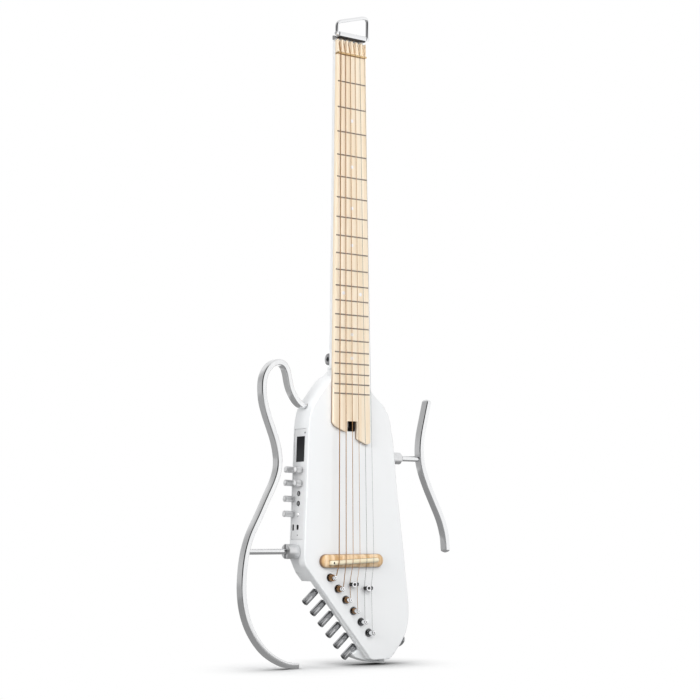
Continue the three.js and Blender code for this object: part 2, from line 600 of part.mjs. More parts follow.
function makeBody() {
  const shell = solidOf(plate(bodyOutline, soundboardY, bodyBackY, body.edge));
  const far = body.width;
  const tongueHalf = neck.tongueWidth / 2 + fitGap;
  const neckPocket = block(-tongueHalf, tongueHalf, soundboardY - overrun, tongueBackY + fitGap,
    -tongueDrop - fitGap, -tipDrop + overrun);
  const shaftPocket = block(-far, far, soundboardY - overrun, tongueBackY + fitGap,
    -shaftDrop - fitGap, -tipDrop + overrun);
  const trussPocket = block(board.notchLeftX, board.notchRightX, soundboardY - overrun,
    soundboardY + trussRod.depthInNeck + body.trussPocketDepth / 2, -trussPocketDrop, -tongueDrop);
  const recess = plate(recessOutline(), slabBackY, bodyBackY + overrun);
  const heelSlope = new THREE.Shape([
    new THREE.Vector2(tongueBackY - overrun, -tipDrop + overrun),
    new THREE.Vector2(bodyBackY + overrun, -tipDrop + overrun),
    new THREE.Vector2(bodyBackY + overrun, -tipDrop - heel.slopeDrop),
    new THREE.Vector2(tongueBackY, -tipDrop),
  ]);
  const heelCutter = new THREE.ExtrudeGeometry(heelSlope, { depth: far, bevelEnabled: false });
  heelCutter.applyMatrix4(new THREE.Matrix4().makeBasis(toBack, toHead, toTreble));
  heelCutter.translate(-far / 2, 0, 0);
  const hollow = plate(cavityOutline(0), cavityFrontY, bodyBackY + overrun);
  const coverSeat = plate(cavityOutline(cavity.coverLedge), coverFrontY - fitGap, bodyBackY + overrun);
  const panelSeat = wallBlock(panelTopDrop - fitGap, panelBottomDrop + fitGap, panelFrontY - fitGap,
    panelBackY + fitGap, -panel.thickness - fitGap, overrun);
  const window = wallBlock(panelTopDrop + panel.ledge * 2, panelBottomDrop - panel.ledge * 2,
    panelFrontY + panel.sideLedge, panelBackY - panel.sideLedge, -cavity.sideWall - overrun, overrun);
  const sleeveHoles = strings.diameters.map((_, index) => rod(
    postCentre(index, soundboardY - overrun), postCentre(index, slabBackY + overrun),
    tuner.sleeveRadius + fitGap, tuner.sides));
  const pegHole = rod(at(pegEnd.x - far / 2, midY, pegEnd.z), at(pegEnd.x + fitGap, midY, pegEnd.z),
    leftFrame.pegRadius + runGap, tuner.sides);
  const strutHole = rod(at(leftWallX - overrun, midY, strutPoint.z),
    at(leftWallX + leftFrame.strutBite + fitGap, midY, strutPoint.z),
    leftFrame.strutRadius + runGap, tuner.sides);
  const stemHole = rod(at(rightWallX + overrun, midY, stemPoint.z),
    at(rightWallX - rightFrame.stemBite - fitGap, midY, stemPoint.z),
    rightFrame.stemRadius + runGap, tuner.sides);
  const whole = join(cut(shell, heelCutter), heelBlock());
  return cut(whole, neckPocket, shaftPocket, trussPocket, recess, hollow, coverSeat, panelSeat, window,
    pegHole, strutHole, stemHole, ...sleeveHoles, lowerStrapSeat());
}

function heelBlock() {
  const front = tongueBackY + fitGap;
  const back = bodyBackY - heel.shortOfBack;
  const [root, corner, top] = [heel.below, -heel.cornerAbove, -heel.above].map((drop) => -tipDrop - drop);
  const side = new THREE.Shape([
    new THREE.Vector2(front, root), new THREE.Vector2(back, root), new THREE.Vector2(back, corner),
    new THREE.Vector2(front + heel.topDepth, top), new THREE.Vector2(front, top),
  ]);
  const geometry = new THREE.ExtrudeGeometry(side, { depth: 2 * heel.halfWidth, bevelEnabled: false });
  geometry.applyMatrix4(new THREE.Matrix4().makeBasis(toBack, toHead, toTreble));
  geometry.translate(-heel.halfWidth, 0, 0);
  return geometry;
}

const lowerStrapPoint = at(
  rightEdgeX(-strapBodyDrop), soundboardY + strapPlaces.bodyFromFront, -strapBodyDrop);
const lowerStrapDirection = (() => {
  const above = rightEdgeX(-strapBodyDrop + overrun);
  const below = rightEdgeX(-strapBodyDrop - overrun);
  return at(2 * overrun, 0, below - above).normalize();
})();

// A shallow flat for the lower strap button.
function lowerStrapSeat() {
  const start = lowerStrapPoint.clone().addScaledVector(lowerStrapDirection, -strapButton.seatDepth);
  const end = lowerStrapPoint.clone().addScaledVector(lowerStrapDirection, overrun);
  return rod(start, end, strapButton.baseRadius + fitGap, strapButton.sides);
}

function strapButtonShape() {
  const { radius, waistRadius, baseRadius, length, rimLength } = strapButton;
  const { baseLength, recessRadius, recessDepth } = strapButton;
  return turned([
    [0, 0], [baseRadius, 0], [baseRadius, baseLength], [waistRadius, baseLength * 2],
    [waistRadius, length - rimLength * 2], [radius, length - rimLength], [radius, length - rimLength / 3],
    [radius - rimLength / 3, length], [recessRadius, length], [recessRadius, length - recessDepth],
    [0, length - recessDepth],
  ], strapButton.sides);
}

// Bridge, saddle and pickup. The saddle and what holds it lie at a slant across the strings.
function onSaddleLine(geometry) {
  geometry.rotateY(-saddleSlant);
  geometry.translate(bridge.centreX, 0, -saddleDrop);
  return geometry;
}

// The saddle's section is flat at the back and round in front, with a hole near its bass end.
function makeSaddle() {
  const half = saddle.width / 2;
  const section = new THREE.Shape();
  section.moveTo(saddleBackY, -half);
  for (let step = 0; step <= saddle.frontSteps; step += 1) {
    const angle = -pi / 2 + (pi * step) / saddle.frontSteps;
    section.lineTo(saddleFrontY + half - half * Math.cos(angle), half * Math.sin(angle));
  }
  section.lineTo(saddleBackY, half);
  const bar = new THREE.ExtrudeGeometry(section, { depth: saddle.length, bevelEnabled: false });
  bar.applyMatrix4(new THREE.Matrix4().makeBasis(toBack, toHead, toTreble));
  bar.translate(-saddle.length / 2, 0, 0);
  const holeX = -saddle.length / 2 + saddle.holeFromEnd;
  const hole = rod(at(holeX, saddleFrontY - overrun, 0), at(holeX, saddleBackY + overrun, 0),
    saddle.holeRadius, tuner.sides);
  return cut(solidOf(onSaddleLine(bar)), onSaddleLine(hole));
}

function makePickup() {
  const half = pickup.length / 2;
  const front = saddleBackY + fitGap;
  return solidOf(onSaddleLine(
    block(-half, half, front, front + pickup.thickness, -pickup.width / 2, pickup.width / 2)));
}

function makeBridge() {
  const radius = bridge.height / 2;
  const run = bridge.length / 2 - radius;
  const outline = [];
  [[1, -pi / 2], [-1, pi / 2]].forEach(([side, startAngle]) => {
    for (let step = 0; step <= bridge.endSteps; step += 1) {
      const angle = startAngle + (pi * step) / bridge.endSteps;
      outline.push([
        bridge.centreX + side * run + radius * Math.cos(angle), -bridgeDrop + radius * Math.sin(angle)]);
    }
  });
  const wood = solidOf(plate(outline, bridgeFrontY, soundboardY - fitGap, bridge.edge));
  const half = saddle.width / 2 + fitGap;
  const reach = saddle.length / 2 + fitGap;
  const slot = onSaddleLine(block(-reach, reach, bridgeFrontY - overrun,
    saddleBackY + pickup.thickness + 2 * fitGap, -half, half));
  return cut(wood, slot);
}

const sharesOf = (place) => [place.alongShare, place.acrossShare];
const displayHeight = display.heightShare * (panelBottomDrop - panelTopDrop);
const displayWidth = display.widthShare * (panelBackY - panelFrontY);

// Control panel on the bass side wall, with what stands in it.
function makePanel() {
  const plateSolid = solidOf(
    wallBlock(panelTopDrop, panelBottomDrop, panelFrontY, panelBackY, -panel.thickness, 0));
  const through = (shares, radius) =>
    rod(onPanel(shares, -panel.thickness - overrun), onPanel(shares, overrun), radius, jack.sides);
  const cutters = [
    ...knobPlaces.map((place) => through(place.shares, knob.shaftRadius + runGap)),
    ...jackShares.map((shares) => through(shares, jack.radius + fitGap)),
    through(sharesOf(modeButton), modeButton.radius + runGap),
    through(sharesOf(statusLight), statusLight.radius + fitGap),
    through(sharesOf(resetHole), resetHole.radius),
    panelBlock(usbPort, usbPort.width, usbPort.height, -panel.thickness - overrun, overrun),
    panelBlock(cardSlot, cardSlot.width, cardSlot.height, -panel.thickness - overrun, overrun),
    panelBlock(display, displayWidth + 2 * fitGap, displayHeight + 2 * fitGap,
      -display.thickness - fitGap, overrun),
  ];
  return cut(plateSolid, ...cutters);
}

// A box in the panel round a place given by shares, across and along the panel.
function panelBlock(place, width, height, inner, outer) {
  const drop = alongPanel(place.alongShare);
  const y = acrossPanel(place.acrossShare);
  return wallBlock(drop - height / 2, drop + height / 2, y - width / 2, y + width / 2, inner, outer);
}

function knobShape(length) {
  const seat = panel.thickness + circuit.potGap;
  const { radius, skirtRadius, skirtLength, shaftRadius, capRound } = knob;
  return turned([
    [0, 0], [shaftRadius, 0], [shaftRadius, seat], [skirtRadius, seat], [skirtRadius, seat + skirtLength],
    [radius, seat + skirtLength], [radius, seat + length - capRound],
    [radius - capRound, seat + length], [0, seat + length],
  ], knob.sides);
}

function jackShape() {
  const { radius, holeRadius, holeDepth, proud, barrelRadius, barrelLength } = jack;
  const end = barrelLength + fitGap + panel.thickness + proud;
  return turned([
    [0, 0], [barrelRadius, 0], [barrelRadius, barrelLength], [radius, barrelLength], [radius, end],
    [holeRadius, end], [holeRadius, end - holeDepth], [0, end - holeDepth],
  ], jack.sides);
}

function modeButtonShape() {
  const { radius, length, flangeWider } = modeButton;
  const flange = length - panel.thickness - modeButton.proud;
  return turned([
    [0, -flange], [radius + flangeWider, -flange], [radius + flangeWider, 0], [radius, 0],
    [radius, length - flange - fitGap], [radius - fitGap, length - flange], [0, length - flange],
  ], jack.sides);
}

// The circuit board stands behind the panel and carries a potentiometer behind each knob.
function makeCircuit() {
  const inner = -panel.thickness - circuit.standoff;
  const sheet = solidOf(wallBlock(cavityTopDrop + circuit.margin, cavityBottomDrop - circuit.margin,
    cavityFrontY + fitGap, coverFrontY - circuit.margin / 2, inner - circuit.thickness, inner));
  const half = circuit.potSize / 2;
  const pots = knobPlaces.map(({ shares: [along, across] }) => {
    const drop = alongPanel(along);
    const frontY = Math.max(acrossPanel(across) - half, cavityFrontY + fitGap);
    const backY = Math.min(acrossPanel(across) + half, panelBackY - panel.sideLedge - fitGap);
    const outer = -panel.thickness - circuit.potGap;
    return wallBlock(drop - half, drop + half, frontY, backY, inner - fitGap, outer);
  });
  return join(sheet, ...pots);
}

// Each string runs as one unbroken tube from its ball end to the last turn on its post.
const washerFrontY = soundboardY - fitGap - tuner.washerThickness;
const coilPitch = (index) => strings.diameters[index] + strings.turnGap;
const coilRadius = (index) => tuner.waistRadius + fitGap + stringRadius(index);
const coilStartY = (index) =>
  washerFrontY - fitGap - stringRadius(index) - strings.turns * coilPitch(index);

// A string's x below the saddle, on the straight line to the side of its post.
function stringXAt(index, z) {
  const start = saddleX(index);
  const startZ = saddleZ(start);
  const post = postCentre(index, 0);
  return start + ((post.x + coilRadius(index) - start) * (startZ - z)) / (startZ - post.z);
}

function stringRoute(index) {
  const radius = stringRadius(index);
  const x = nutX(index);
  const nutY = -strings.nutHeight;
  const plateTop = headClamp.barBottom + headClamp.plateHeight;
  const points = [
    at(x, strings.anchorY, plateTop + fitGap + strings.ballLength / 2),
    at(x, strings.anchorY, headBlock.top), at(x, nutY, nut.height + fitGap), at(x, nutY, -fitGap),
  ];
  const bridgeX = saddleX(index);
  points.push(at(bridgeX, saddleFrontY - fitGap - radius, saddleZ(bridgeX)));
  const tree = Math.floor(index / 2) - 1;
  if (tree >= 0) {
    [1, -1].forEach((side) => {
      const z = -alongBody(stringTreeShares[tree]) + side * (stringTree.barHeight / 2 + fitGap);
      points.push(at(stringXAt(index, z), treeBackY + fitGap + radius, z));
    });
  }
  const post = postCentre(index, coilStartY(index));
  const stepCount = strings.turns * strings.stepsPerTurn;
  for (let step = 0; step <= stepCount; step += 1) {
    const turn = step / strings.stepsPerTurn;
    const angle = -2 * pi * turn;
    points.push(at(post.x + coilRadius(index) * Math.cos(angle), post.y + turn * coilPitch(index),
      post.z + coilRadius(index) * Math.sin(angle)));
  }
  return points;
}

// A tube through points: its section is carried along without twist, square to the bend at each point.
function tube(points, radius, sides) {
  const positions = [];
  const faces = [];
  let side = null;
  points.forEach((point, index) => {
    const before = points[Math.max(index - 1, 0)];
    const after = points[Math.min(index + 1, points.length - 1)];
    const into = (index ? point.clone().sub(before) : after.clone().sub(point)).normalize();
    const out = (index < points.length - 1 ? after.clone().sub(point) : into.clone()).normalize();
    const along = into.clone().add(out).normalize();
    side = side ? side : new THREE.Vector3().crossVectors(along, toTreble).normalize();
    side.addScaledVector(along, -side.dot(along)).normalize();
    const across = new THREE.Vector3().crossVectors(along, side);
    for (let corner = 0; corner < sides; corner += 1) {
      const angle = (2 * pi * corner) / sides;
      const place = point.clone().addScaledVector(side, radius * Math.cos(angle));
      place.addScaledVector(across, radius * Math.sin(angle));
      positions.push(place.x, place.y, place.z);
    }
  });
  for (let ring = 0; ring < points.length - 1; ring += 1) {
    for (let corner = 0; corner < sides; corner += 1) {
      const a = ring * sides + corner;
      const b = ring * sides + ((corner + 1) % sides);
      faces.push(a, b, a + sides, b, b + sides, a + sides);
    }
  }
  const last = (points.length - 1) * sides;
  for (let corner = 1; corner < sides - 1; corner += 1) {
    faces.push(0, corner + 1, corner, last, last + corner, last + corner + 1);
  }
  const geometry = new THREE.BufferGeometry();
  geometry.setAttribute('position', new THREE.BufferAttribute(new Float32Array(positions), 3));
  geometry.setIndex(faces);
  return geometry;
}

function makeString(index) {
  const route = stringRoute(index);
  const ballTop = route[0].clone().addScaledVector(toHead, strings.ballLength / 2);
  const ballFoot = route[0].clone().addScaledVector(toHead, -strings.ballLength / 2);
  const ball = rod(ballFoot, ballTop, strings.ballRadius, strings.ballSides);
  return join(solidOf(tube(route, stringRadius(index), strings.sides)), ball);
}

// The least clear gap between a string's turns, measured between points a good part of a turn apart.
function leastTurnGap(index) {
  const route = stringRoute(index).slice(-strings.turns * strings.stepsPerTurn - 1);
  const skip = Math.ceil(strings.stepsPerTurn * strings.gapSkipShare);
  let least = Infinity;
  route.forEach((point, first) => {
    for (let second = first + skip; second < route.length; second += 1) {
      least = Math.min(least, point.distanceTo(route[second]) - strings.diameters[index]);
    }
  });
  return least;
}

// Tuners: each stands in its own group, with local x along the slanted edge, y to the back, z inward.
const axisY = body.slabDepth + tuner.axisBehindSlab;

function housingShape() {
  const { washerRadius, washerThickness, sleeveRadius, postRadius, wheelRadius } = tuner;
  const low = body.slabDepth + fitGap;
  const reach = tuner.pitch - tuner.housingAlongPost - tuner.housingGap;
  const box = block(-tuner.housingAlongPost, reach, low, low + tuner.housingDepth,
    -tuner.housingHalf, tuner.housingHalf);
  const washerFront = -fitGap - washerThickness;
  const sleeve = rod(
    at(0, washerFront + washerThickness / 2, 0), at(0, low + fitGap, 0), sleeveRadius, tuner.sides);
  const washer = rod(at(0, washerFront, 0), at(0, -fitGap, 0), washerRadius, tuner.sides);
  const postBore = rod(at(0, -overrun, 0), at(0, axisY, 0), postRadius + runGap, tuner.sides);
  const wheelHalf = tuner.wheelThickness / 2 + runGap;
  const wheelRoom = rod(
    at(0, axisY - wheelHalf, 0), at(0, axisY + wheelHalf, 0), wheelRadius + runGap, tuner.sides);
  const wormHalf = tuner.wormLength / 2 + runGap;
  const wormRoom = rod(at(tuner.wormOffset, axisY, wormHalf), at(tuner.wormOffset, axisY, -wormHalf),
    tuner.wormRadius + runGap, tuner.sides);
  const shaftBore = rod(at(tuner.wormOffset, axisY, 0),
    at(tuner.wormOffset, axisY, -tuner.housingHalf - overrun), tuner.shaftRadius + runGap, tuner.sides);
  return cut(join(solidOf(box), sleeve, washer), postBore, wheelRoom, wormRoom, shaftBore);
}

function postShape() {
  const { postRadius, waistRadius, wheelRadius, wheelThickness, tipLength, tipRound } = tuner;
  const waistEnd = tuner.postProud - fitGap - tuner.washerThickness;
  const back = tuner.postProud + axisY;
  return turned([
    [0, 0], [postRadius - tipRound, 0], [postRadius, tipRound], [postRadius, tipLength],
    [waistRadius, tipLength], [waistRadius, waistEnd], [postRadius, waistEnd],
    [postRadius, back - wheelThickness / 2], [wheelRadius, back - wheelThickness / 2],
    [wheelRadius, back + wheelThickness / 2], [0, back + wheelThickness / 2],
  ], tuner.sides);
}

function buttonShape() {
  const half = tuner.wormLength / 2;
  const start = half + tuner.buttonStart;
  const end = start + tuner.buttonLength;
  const { roundOff, tipRecessRadius, tipRecessDepth, buttonRadius, collarRadius, shaftRadius } = tuner;
  const collarStart = start - tuner.collarLength;
  return turned([
    [0, 0], [tuner.wormRadius, 0], [tuner.wormRadius, 2 * half], [shaftRadius, 2 * half],
    [shaftRadius, collarStart], [collarRadius, collarStart], [collarRadius, start],
    [buttonRadius - roundOff, start], [buttonRadius, start + roundOff], [buttonRadius, end - roundOff],
    [buttonRadius - roundOff, end], [tipRecessRadius, end], [tipRecessRadius, end - tipRecessDepth],
    [0, end - tipRecessDepth],
  ], tuner.sides);
}

function addTuner(index) {
  const group = new THREE.Group();
  const origin = postCentre(index, soundboardY);
  group.position.copy(origin);
  group.rotation.y = Math.atan2(-diagonal.z, diagonal.x);
  guitar.add(group);
  const name = index + 1;
  addPiece(`tuner_housing_${name}`, housingShape(), chrome, group);
  const post = addPiece(`tuner_post_${name}`, solidOf(postShape()), chrome, group);
  post.position.y = -tuner.postProud;
  const button = addPiece(`tuner_button_${name}`, solidOf(buttonShape()), chrome, group);
  button.rotation.x = -pi / 2;
  button.position.set(tuner.wormOffset, axisY, tuner.wormLength / 2);
}

function makeStringTree(tree) {
  const indices = [2 * tree + 2, 2 * tree + 3];
  const z = -alongBody(stringTreeShares[tree]);
  const x = (stringXAt(indices[0], z) + stringXAt(indices[1], z)) / 2;
  const { barLength, barHeight, barThickness, barFront, stemRadius, headRadius, headHeight } = stringTree;
  const bar = block(x - barLength / 2, x + barLength / 2, barFront, barFront + barThickness,
    z - barHeight / 2, z + barHeight / 2);
  const stem = rod(at(x, barFront, z), at(x, soundboardY - fitGap, z), stemRadius, stringTree.sides);
  const head = rod(
    at(x, barFront - headHeight, z), at(x, barFront + fitGap, z), headRadius, stringTree.sides);
  return join(solidOf(bar), stem, head);
}

// Side frames: a rounded bar carried along a plane curve, with the rods that plug into the body.
function barAlong(points, steps) {
  const halfDepth = frameBar.depth / 2;
  const halfWidth = frameBar.width / 2;
  const { corner, cornerSteps } = frameBar;
  const section = [];
  [[1, 1, 0], [-1, 1, 1], [-1, -1, 2], [1, -1, 3]].forEach(([sideX, sideY, quarter]) => {
    for (let step = 0; step <= cornerSteps; step += 1) {
      const angle = (pi / 2) * (quarter + step / cornerSteps);
      section.push(new THREE.Vector2(
        sideX * (halfDepth - corner) + corner * Math.cos(angle),
        sideY * (halfWidth - corner) + corner * Math.sin(angle)));
    }
  });
  const path = new THREE.CatmullRomCurve3(points, false, 'centripetal');
  return new THREE.ExtrudeGeometry(new THREE.Shape(section), { steps, extrudePath: path });
}

function makeLeftFrame() {
  const pegStart = at(pegPoint.x - frameBar.width / 2, midY, pegPoint.z);
  const peg = rod(pegStart, pegEnd, leftFrame.pegRadius, tuner.sides);
  const strut = rod(strutPoint, at(leftWallX + leftFrame.strutBite, midY, strutPoint.z),
    leftFrame.strutRadius, tuner.sides);
  return join(solidOf(barAlong(leftFrameShares.map(onLeftFrame), leftFrame.steps)), peg, strut);
}

function makeRightFrame() {
  const stem = rod(stemPoint, at(rightWallX - rightFrame.stemBite, midY, stemPoint.z),
    rightFrame.stemRadius, tuner.sides);
  return join(solidOf(barAlong(rightFrameShares.map(onRightFrame), rightFrame.steps)), stem);
}

// A locking collar round a frame's rod: a ring with a grip slot across its outer face.
function makeLeftCollar() {
  const { leftRadius: radius, leftLength: length, roundOff, slotWidth, slotDepth } = collar;
  const bore = leftFrame.strutRadius + runGap;
  const base = leftWallX - fitGap - radius * Math.tan(wallAngle);
  const ring = turnedAlong([
    [bore, 0], [radius - roundOff, 0], [radius, roundOff], [radius, length - roundOff],
    [radius - roundOff, length], [bore, length], [bore, 0],
  ], collar.sides, at(base, midY, strutPoint.z), at(-1, 0, 0));
  const face = base - length;
  const slot = block(face - overrun, face + slotDepth, midY - slotWidth / 2, midY + slotWidth / 2,
    strutPoint.z - radius - overrun, strutPoint.z + radius + overrun);
  return cut(solidOf(ring), slot);
}

function makeRightCollar() {
  const { rightRadius: radius, rightLength: length, noseRadius, rimLength, roundOff } = collar;
  const bore = rightFrame.stemRadius + runGap;
  const { z } = stemPoint;
  const base = Math.max(rightEdgeX(z + radius), rightEdgeX(z - radius), rightWallX) + fitGap;
  return solidOf(turnedAlong([
    [bore, 0], [radius - roundOff, 0], [radius, roundOff], [radius, length - rimLength * 2],
    [noseRadius, length], [bore, length], [bore, 0],
  ], collar.sides, at(base, midY, z), at(1, 0, 0)));
}

function makeTrussRod() {
  const y = soundboardY + trussRod.depthInNeck;
  const { radius, nutRadius, nutLength, startDrop, hexRadius, hexDepth, sides } = trussRod;
  const start = startDrop + fitGap;
  const shaft = trussNutDrop - start;
  const end = shaft + nutLength;
  return solidOf(turnedAlong([
    [0, 0], [radius, 0], [radius, shaft], [nutRadius, shaft], [nutRadius, end],
    [hexRadius, end], [hexRadius, end - hexDepth], [0, end - hexDepth],
  ], sides, at(0, y, -start), at(0, 0, -1)));
}

// Assembly.
addPiece('neck', makeNeck(), white);
addPiece('fretboard', makeFretboard(), paleMaple);
addPiece('nut', makeNut(), brass);
addPiece('head_block', makeHeadBlock(), paleMaple);
addPiece('head_clamp', makeHeadClamp(), chrome);
addPiece('bail', makeBail(), chrome);
addPiece('truss_rod', makeTrussRod(), steel);
addPiece('body', makeBody(), white);
addPiece('back_cover',
  solidOf(plate(cavityOutline(cavity.coverLedge - fitGap), coverFrontY, bodyBackY)), white);
addPiece('bridge', makeBridge(), amberMaple);
addPiece('saddle', makeSaddle(), bone);
addPiece('pickup', makePickup(), black);
addPiece('control_panel', makePanel(), paleGrey);
addPiece('display',
  solidOf(panelBlock(display, displayWidth, displayHeight, -display.thickness, 0)), darkGlass);
addPiece('circuit_board', makeCircuit(), boardGreen);
const batteryFrontY = cavityFrontY + fitGap;
const batteryTopZ = -cavityTopDrop - battery.belowTop;
addPiece('battery', solidOf(block(
  battery.centreX - battery.width / 2, battery.centreX + battery.width / 2,
  batteryFrontY, batteryFrontY + battery.depth, batteryTopZ - battery.length, batteryTopZ)), cellBlue);
addPiece('status_light', solidOf(rod(
  onPanel(sharesOf(statusLight), -statusLight.length), onPanel(sharesOf(statusLight), fitGap),
  statusLight.radius, jack.sides)), darkGlass);

// Turned pieces on the bass side wall stand in a group that leans with the wall.
const wallGroup = new THREE.Group();
wallGroup.position.copy(onWall(panelTopDrop, panelFrontY, 0));
wallGroup.quaternion.setFromUnitVectors(toBack, wallNormal);
guitar.add(wallGroup);
function addOnWall(name, shape, shares, out, material) {
  const mesh = addPiece(name, solidOf(shape), material, wallGroup);
  const place = onPanel(shares, out).sub(wallGroup.position);
  mesh.position.copy(place.applyQuaternion(wallGroup.quaternion.clone().invert()));
}
knobPlaces.forEach(({ shares, length }, index) => addOnWall(
  `knob_${index + 1}`, knobShape(length), shares, -panel.thickness - circuit.potGap + fitGap, paleGrey));
jackShares.forEach((shares, index) => addOnWall(
  `jack_${index + 1}`, jackShape(), shares, -panel.thickness - fitGap - jack.barrelLength, black));
addOnWall('mode_button', modeButtonShape(), sharesOf(modeButton), -panel.thickness - fitGap, paleGrey);

strings.diameters.forEach((diameter, index) => {
  addPiece(`string_${index + 1}`, makeString(index), index < woundStrings ? bronze : steel);
  console.log(`string_${index + 1}: least gap between turns ${leastTurnGap(index).toFixed(2)} mm`);
  addTuner(index);
});
stringTreeShares.forEach((share, tree) =>
  addPiece(`string_tree_${tree + 1}`, makeStringTree(tree), chrome));
addPiece('left_frame', makeLeftFrame(), satinSilver);
addPiece('right_frame', makeRightFrame(), satinSilver);
addPiece('left_collar', makeLeftCollar(), satinSilver);
addPiece('right_collar', makeRightCollar(), satinSilver);

function addStrapButton(name, seat, direction) {
  const mesh = addPiece(name, solidOf(strapButtonShape()), chrome);
  mesh.position.copy(seat).addScaledVector(direction, fitGap);
  mesh.quaternion.setFromUnitVectors(toBack, direction);
}
const upperStrapSeat =
  at(-heel.halfWidth, tongueBackY + strapPlaces.heelFromTongue, strapPlaces.heelAbove - tipDrop);
addStrapButton('strap_button_1', upperStrapSeat, toTreble.clone().negate());
const lowerStrapSeatFloor = lowerStrapPoint.clone();
lowerStrapSeatFloor.addScaledVector(lowerStrapDirection, -strapButton.seatDepth);
addStrapButton('strap_button_2', lowerStrapSeatFloor, lowerStrapDirection);

// The origin moves to the hanging point: the inside of the bail's top.
const hangZ = bailTopZ - bail.rodRadius * Math.hypot(1, bailSlope);
guitar.position.set(-hangX, -bailY, -hangZ);

export default guitar;
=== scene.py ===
# Skeleton frame guitar: the finished surfaces of a slim white guitar with two satin side frames.
# Shapes are worked out in millimetres, with y zero at the fret tops and z zero at the nut's lower face,
# and are moved into the frame's metres when a mesh is made.
import math
import bpy
import bmesh
import numpy as np
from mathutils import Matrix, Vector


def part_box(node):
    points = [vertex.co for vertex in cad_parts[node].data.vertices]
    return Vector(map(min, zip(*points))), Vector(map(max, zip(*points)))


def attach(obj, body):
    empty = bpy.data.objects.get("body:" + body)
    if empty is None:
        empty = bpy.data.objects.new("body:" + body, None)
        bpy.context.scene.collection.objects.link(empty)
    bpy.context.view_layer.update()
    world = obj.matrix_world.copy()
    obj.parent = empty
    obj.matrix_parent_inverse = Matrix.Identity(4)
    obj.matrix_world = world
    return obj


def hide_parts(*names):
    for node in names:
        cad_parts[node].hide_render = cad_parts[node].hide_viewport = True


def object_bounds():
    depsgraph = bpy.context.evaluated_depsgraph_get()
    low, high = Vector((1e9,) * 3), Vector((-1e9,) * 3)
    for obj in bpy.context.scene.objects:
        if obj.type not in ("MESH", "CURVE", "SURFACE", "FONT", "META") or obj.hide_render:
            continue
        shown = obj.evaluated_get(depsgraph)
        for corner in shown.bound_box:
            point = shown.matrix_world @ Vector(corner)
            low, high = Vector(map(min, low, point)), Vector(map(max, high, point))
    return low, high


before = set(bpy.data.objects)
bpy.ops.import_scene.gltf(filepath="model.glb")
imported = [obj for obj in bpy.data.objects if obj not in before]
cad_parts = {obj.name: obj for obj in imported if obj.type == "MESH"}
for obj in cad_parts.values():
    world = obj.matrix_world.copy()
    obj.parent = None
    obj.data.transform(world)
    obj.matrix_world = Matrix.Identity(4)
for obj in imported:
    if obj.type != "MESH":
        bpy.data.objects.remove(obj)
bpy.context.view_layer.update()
mm = 0.001
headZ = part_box("nut")[0].z              # metres: the nut's lower face in the frame
fullTurn = 2 * math.pi
treble, back, up = np.eye(3)            # the directions of x, y and z
crosswise = [back, treble, up]          # for a shape drawn from the side, which runs along x
past, far = 3, 60                       # how far short and long cutters run past a surface
bevel = 0.3                             # the small edge of turned pieces


def addObject(name, data):
    made = bpy.data.objects.new(name, data)
    bpy.context.scene.collection.objects.link(made)
    return made


# Camera, set by the spacing of the frets in the picture.
shot = {"place": (-1.2554, -1.7149, -0.66675), "yaw": 36.118, "pitch": 6.279, "roll": -0.049, "lens": 85.634}


def addCamera():
    yaw, pitch, roll = (math.radians(shot[name]) for name in ("yaw", "pitch", "roll"))
    ahead = np.array([math.sin(yaw) * math.cos(pitch), math.cos(yaw) * math.cos(pitch), math.sin(pitch)])
    side = np.array([math.cos(yaw), -math.sin(yaw), 0.0])
    top = np.cross(side, ahead)
    matrix = np.eye(4)
    matrix[:3, 0] = math.cos(roll) * side + math.sin(roll) * top
    matrix[:3, 1] = math.cos(roll) * top - math.sin(roll) * side
    matrix[:3, 2], matrix[:3, 3] = -ahead, shot["place"]
    camera = addObject("camera", bpy.data.cameras.new("camera"))
    camera.data.lens = shot["lens"]
    camera.data.clip_end = 100
    camera.matrix_world = matrix.T.tolist()
    bpy.context.scene.camera = camera


addCamera()
print("camera set")


# Lines and outlines as arrays.
def unit(vectors):
    vectors = np.asarray(vectors, float)
    return vectors / np.linalg.norm(vectors, axis=-1, keepdims=True)


def rectangle(width, height, x=0.0, z=0.0):
    return [(x + a * width / 2, z + b * height / 2) for a, b in ((-1, -1), (1, -1), (1, 1), (-1, 1))]


# Points of a circle, at even angles round its centre.
def circle(radius, sides):
    angle = np.arange(sides) * fullTurn / sides
    return radius * np.stack([np.cos(angle), np.sin(angle)], 1)


# The length of a line from its start to each of its points.
def lengthsAlong(line):
    return np.append(0, np.cumsum(np.linalg.norm(np.diff(line, axis=0), axis=1)))


# The quarter round between a turned shape's first end and its side:
# radius - r (1 - sin a), height + r (1 - cos a).
def nearRound(radius, height, rounding, steps=5):
    angle = np.linspace(0, math.pi / 2, steps + 1)
    return np.stack([radius - rounding * (1 - np.sin(angle)), height + rounding * (1 - np.cos(angle))], 1)


# The same quarter round between the side and the second end.
def farRound(radius, height, rounding, steps=5):
    return nearRound(radius, -height, rounding, steps)[::-1] * (1, -1)


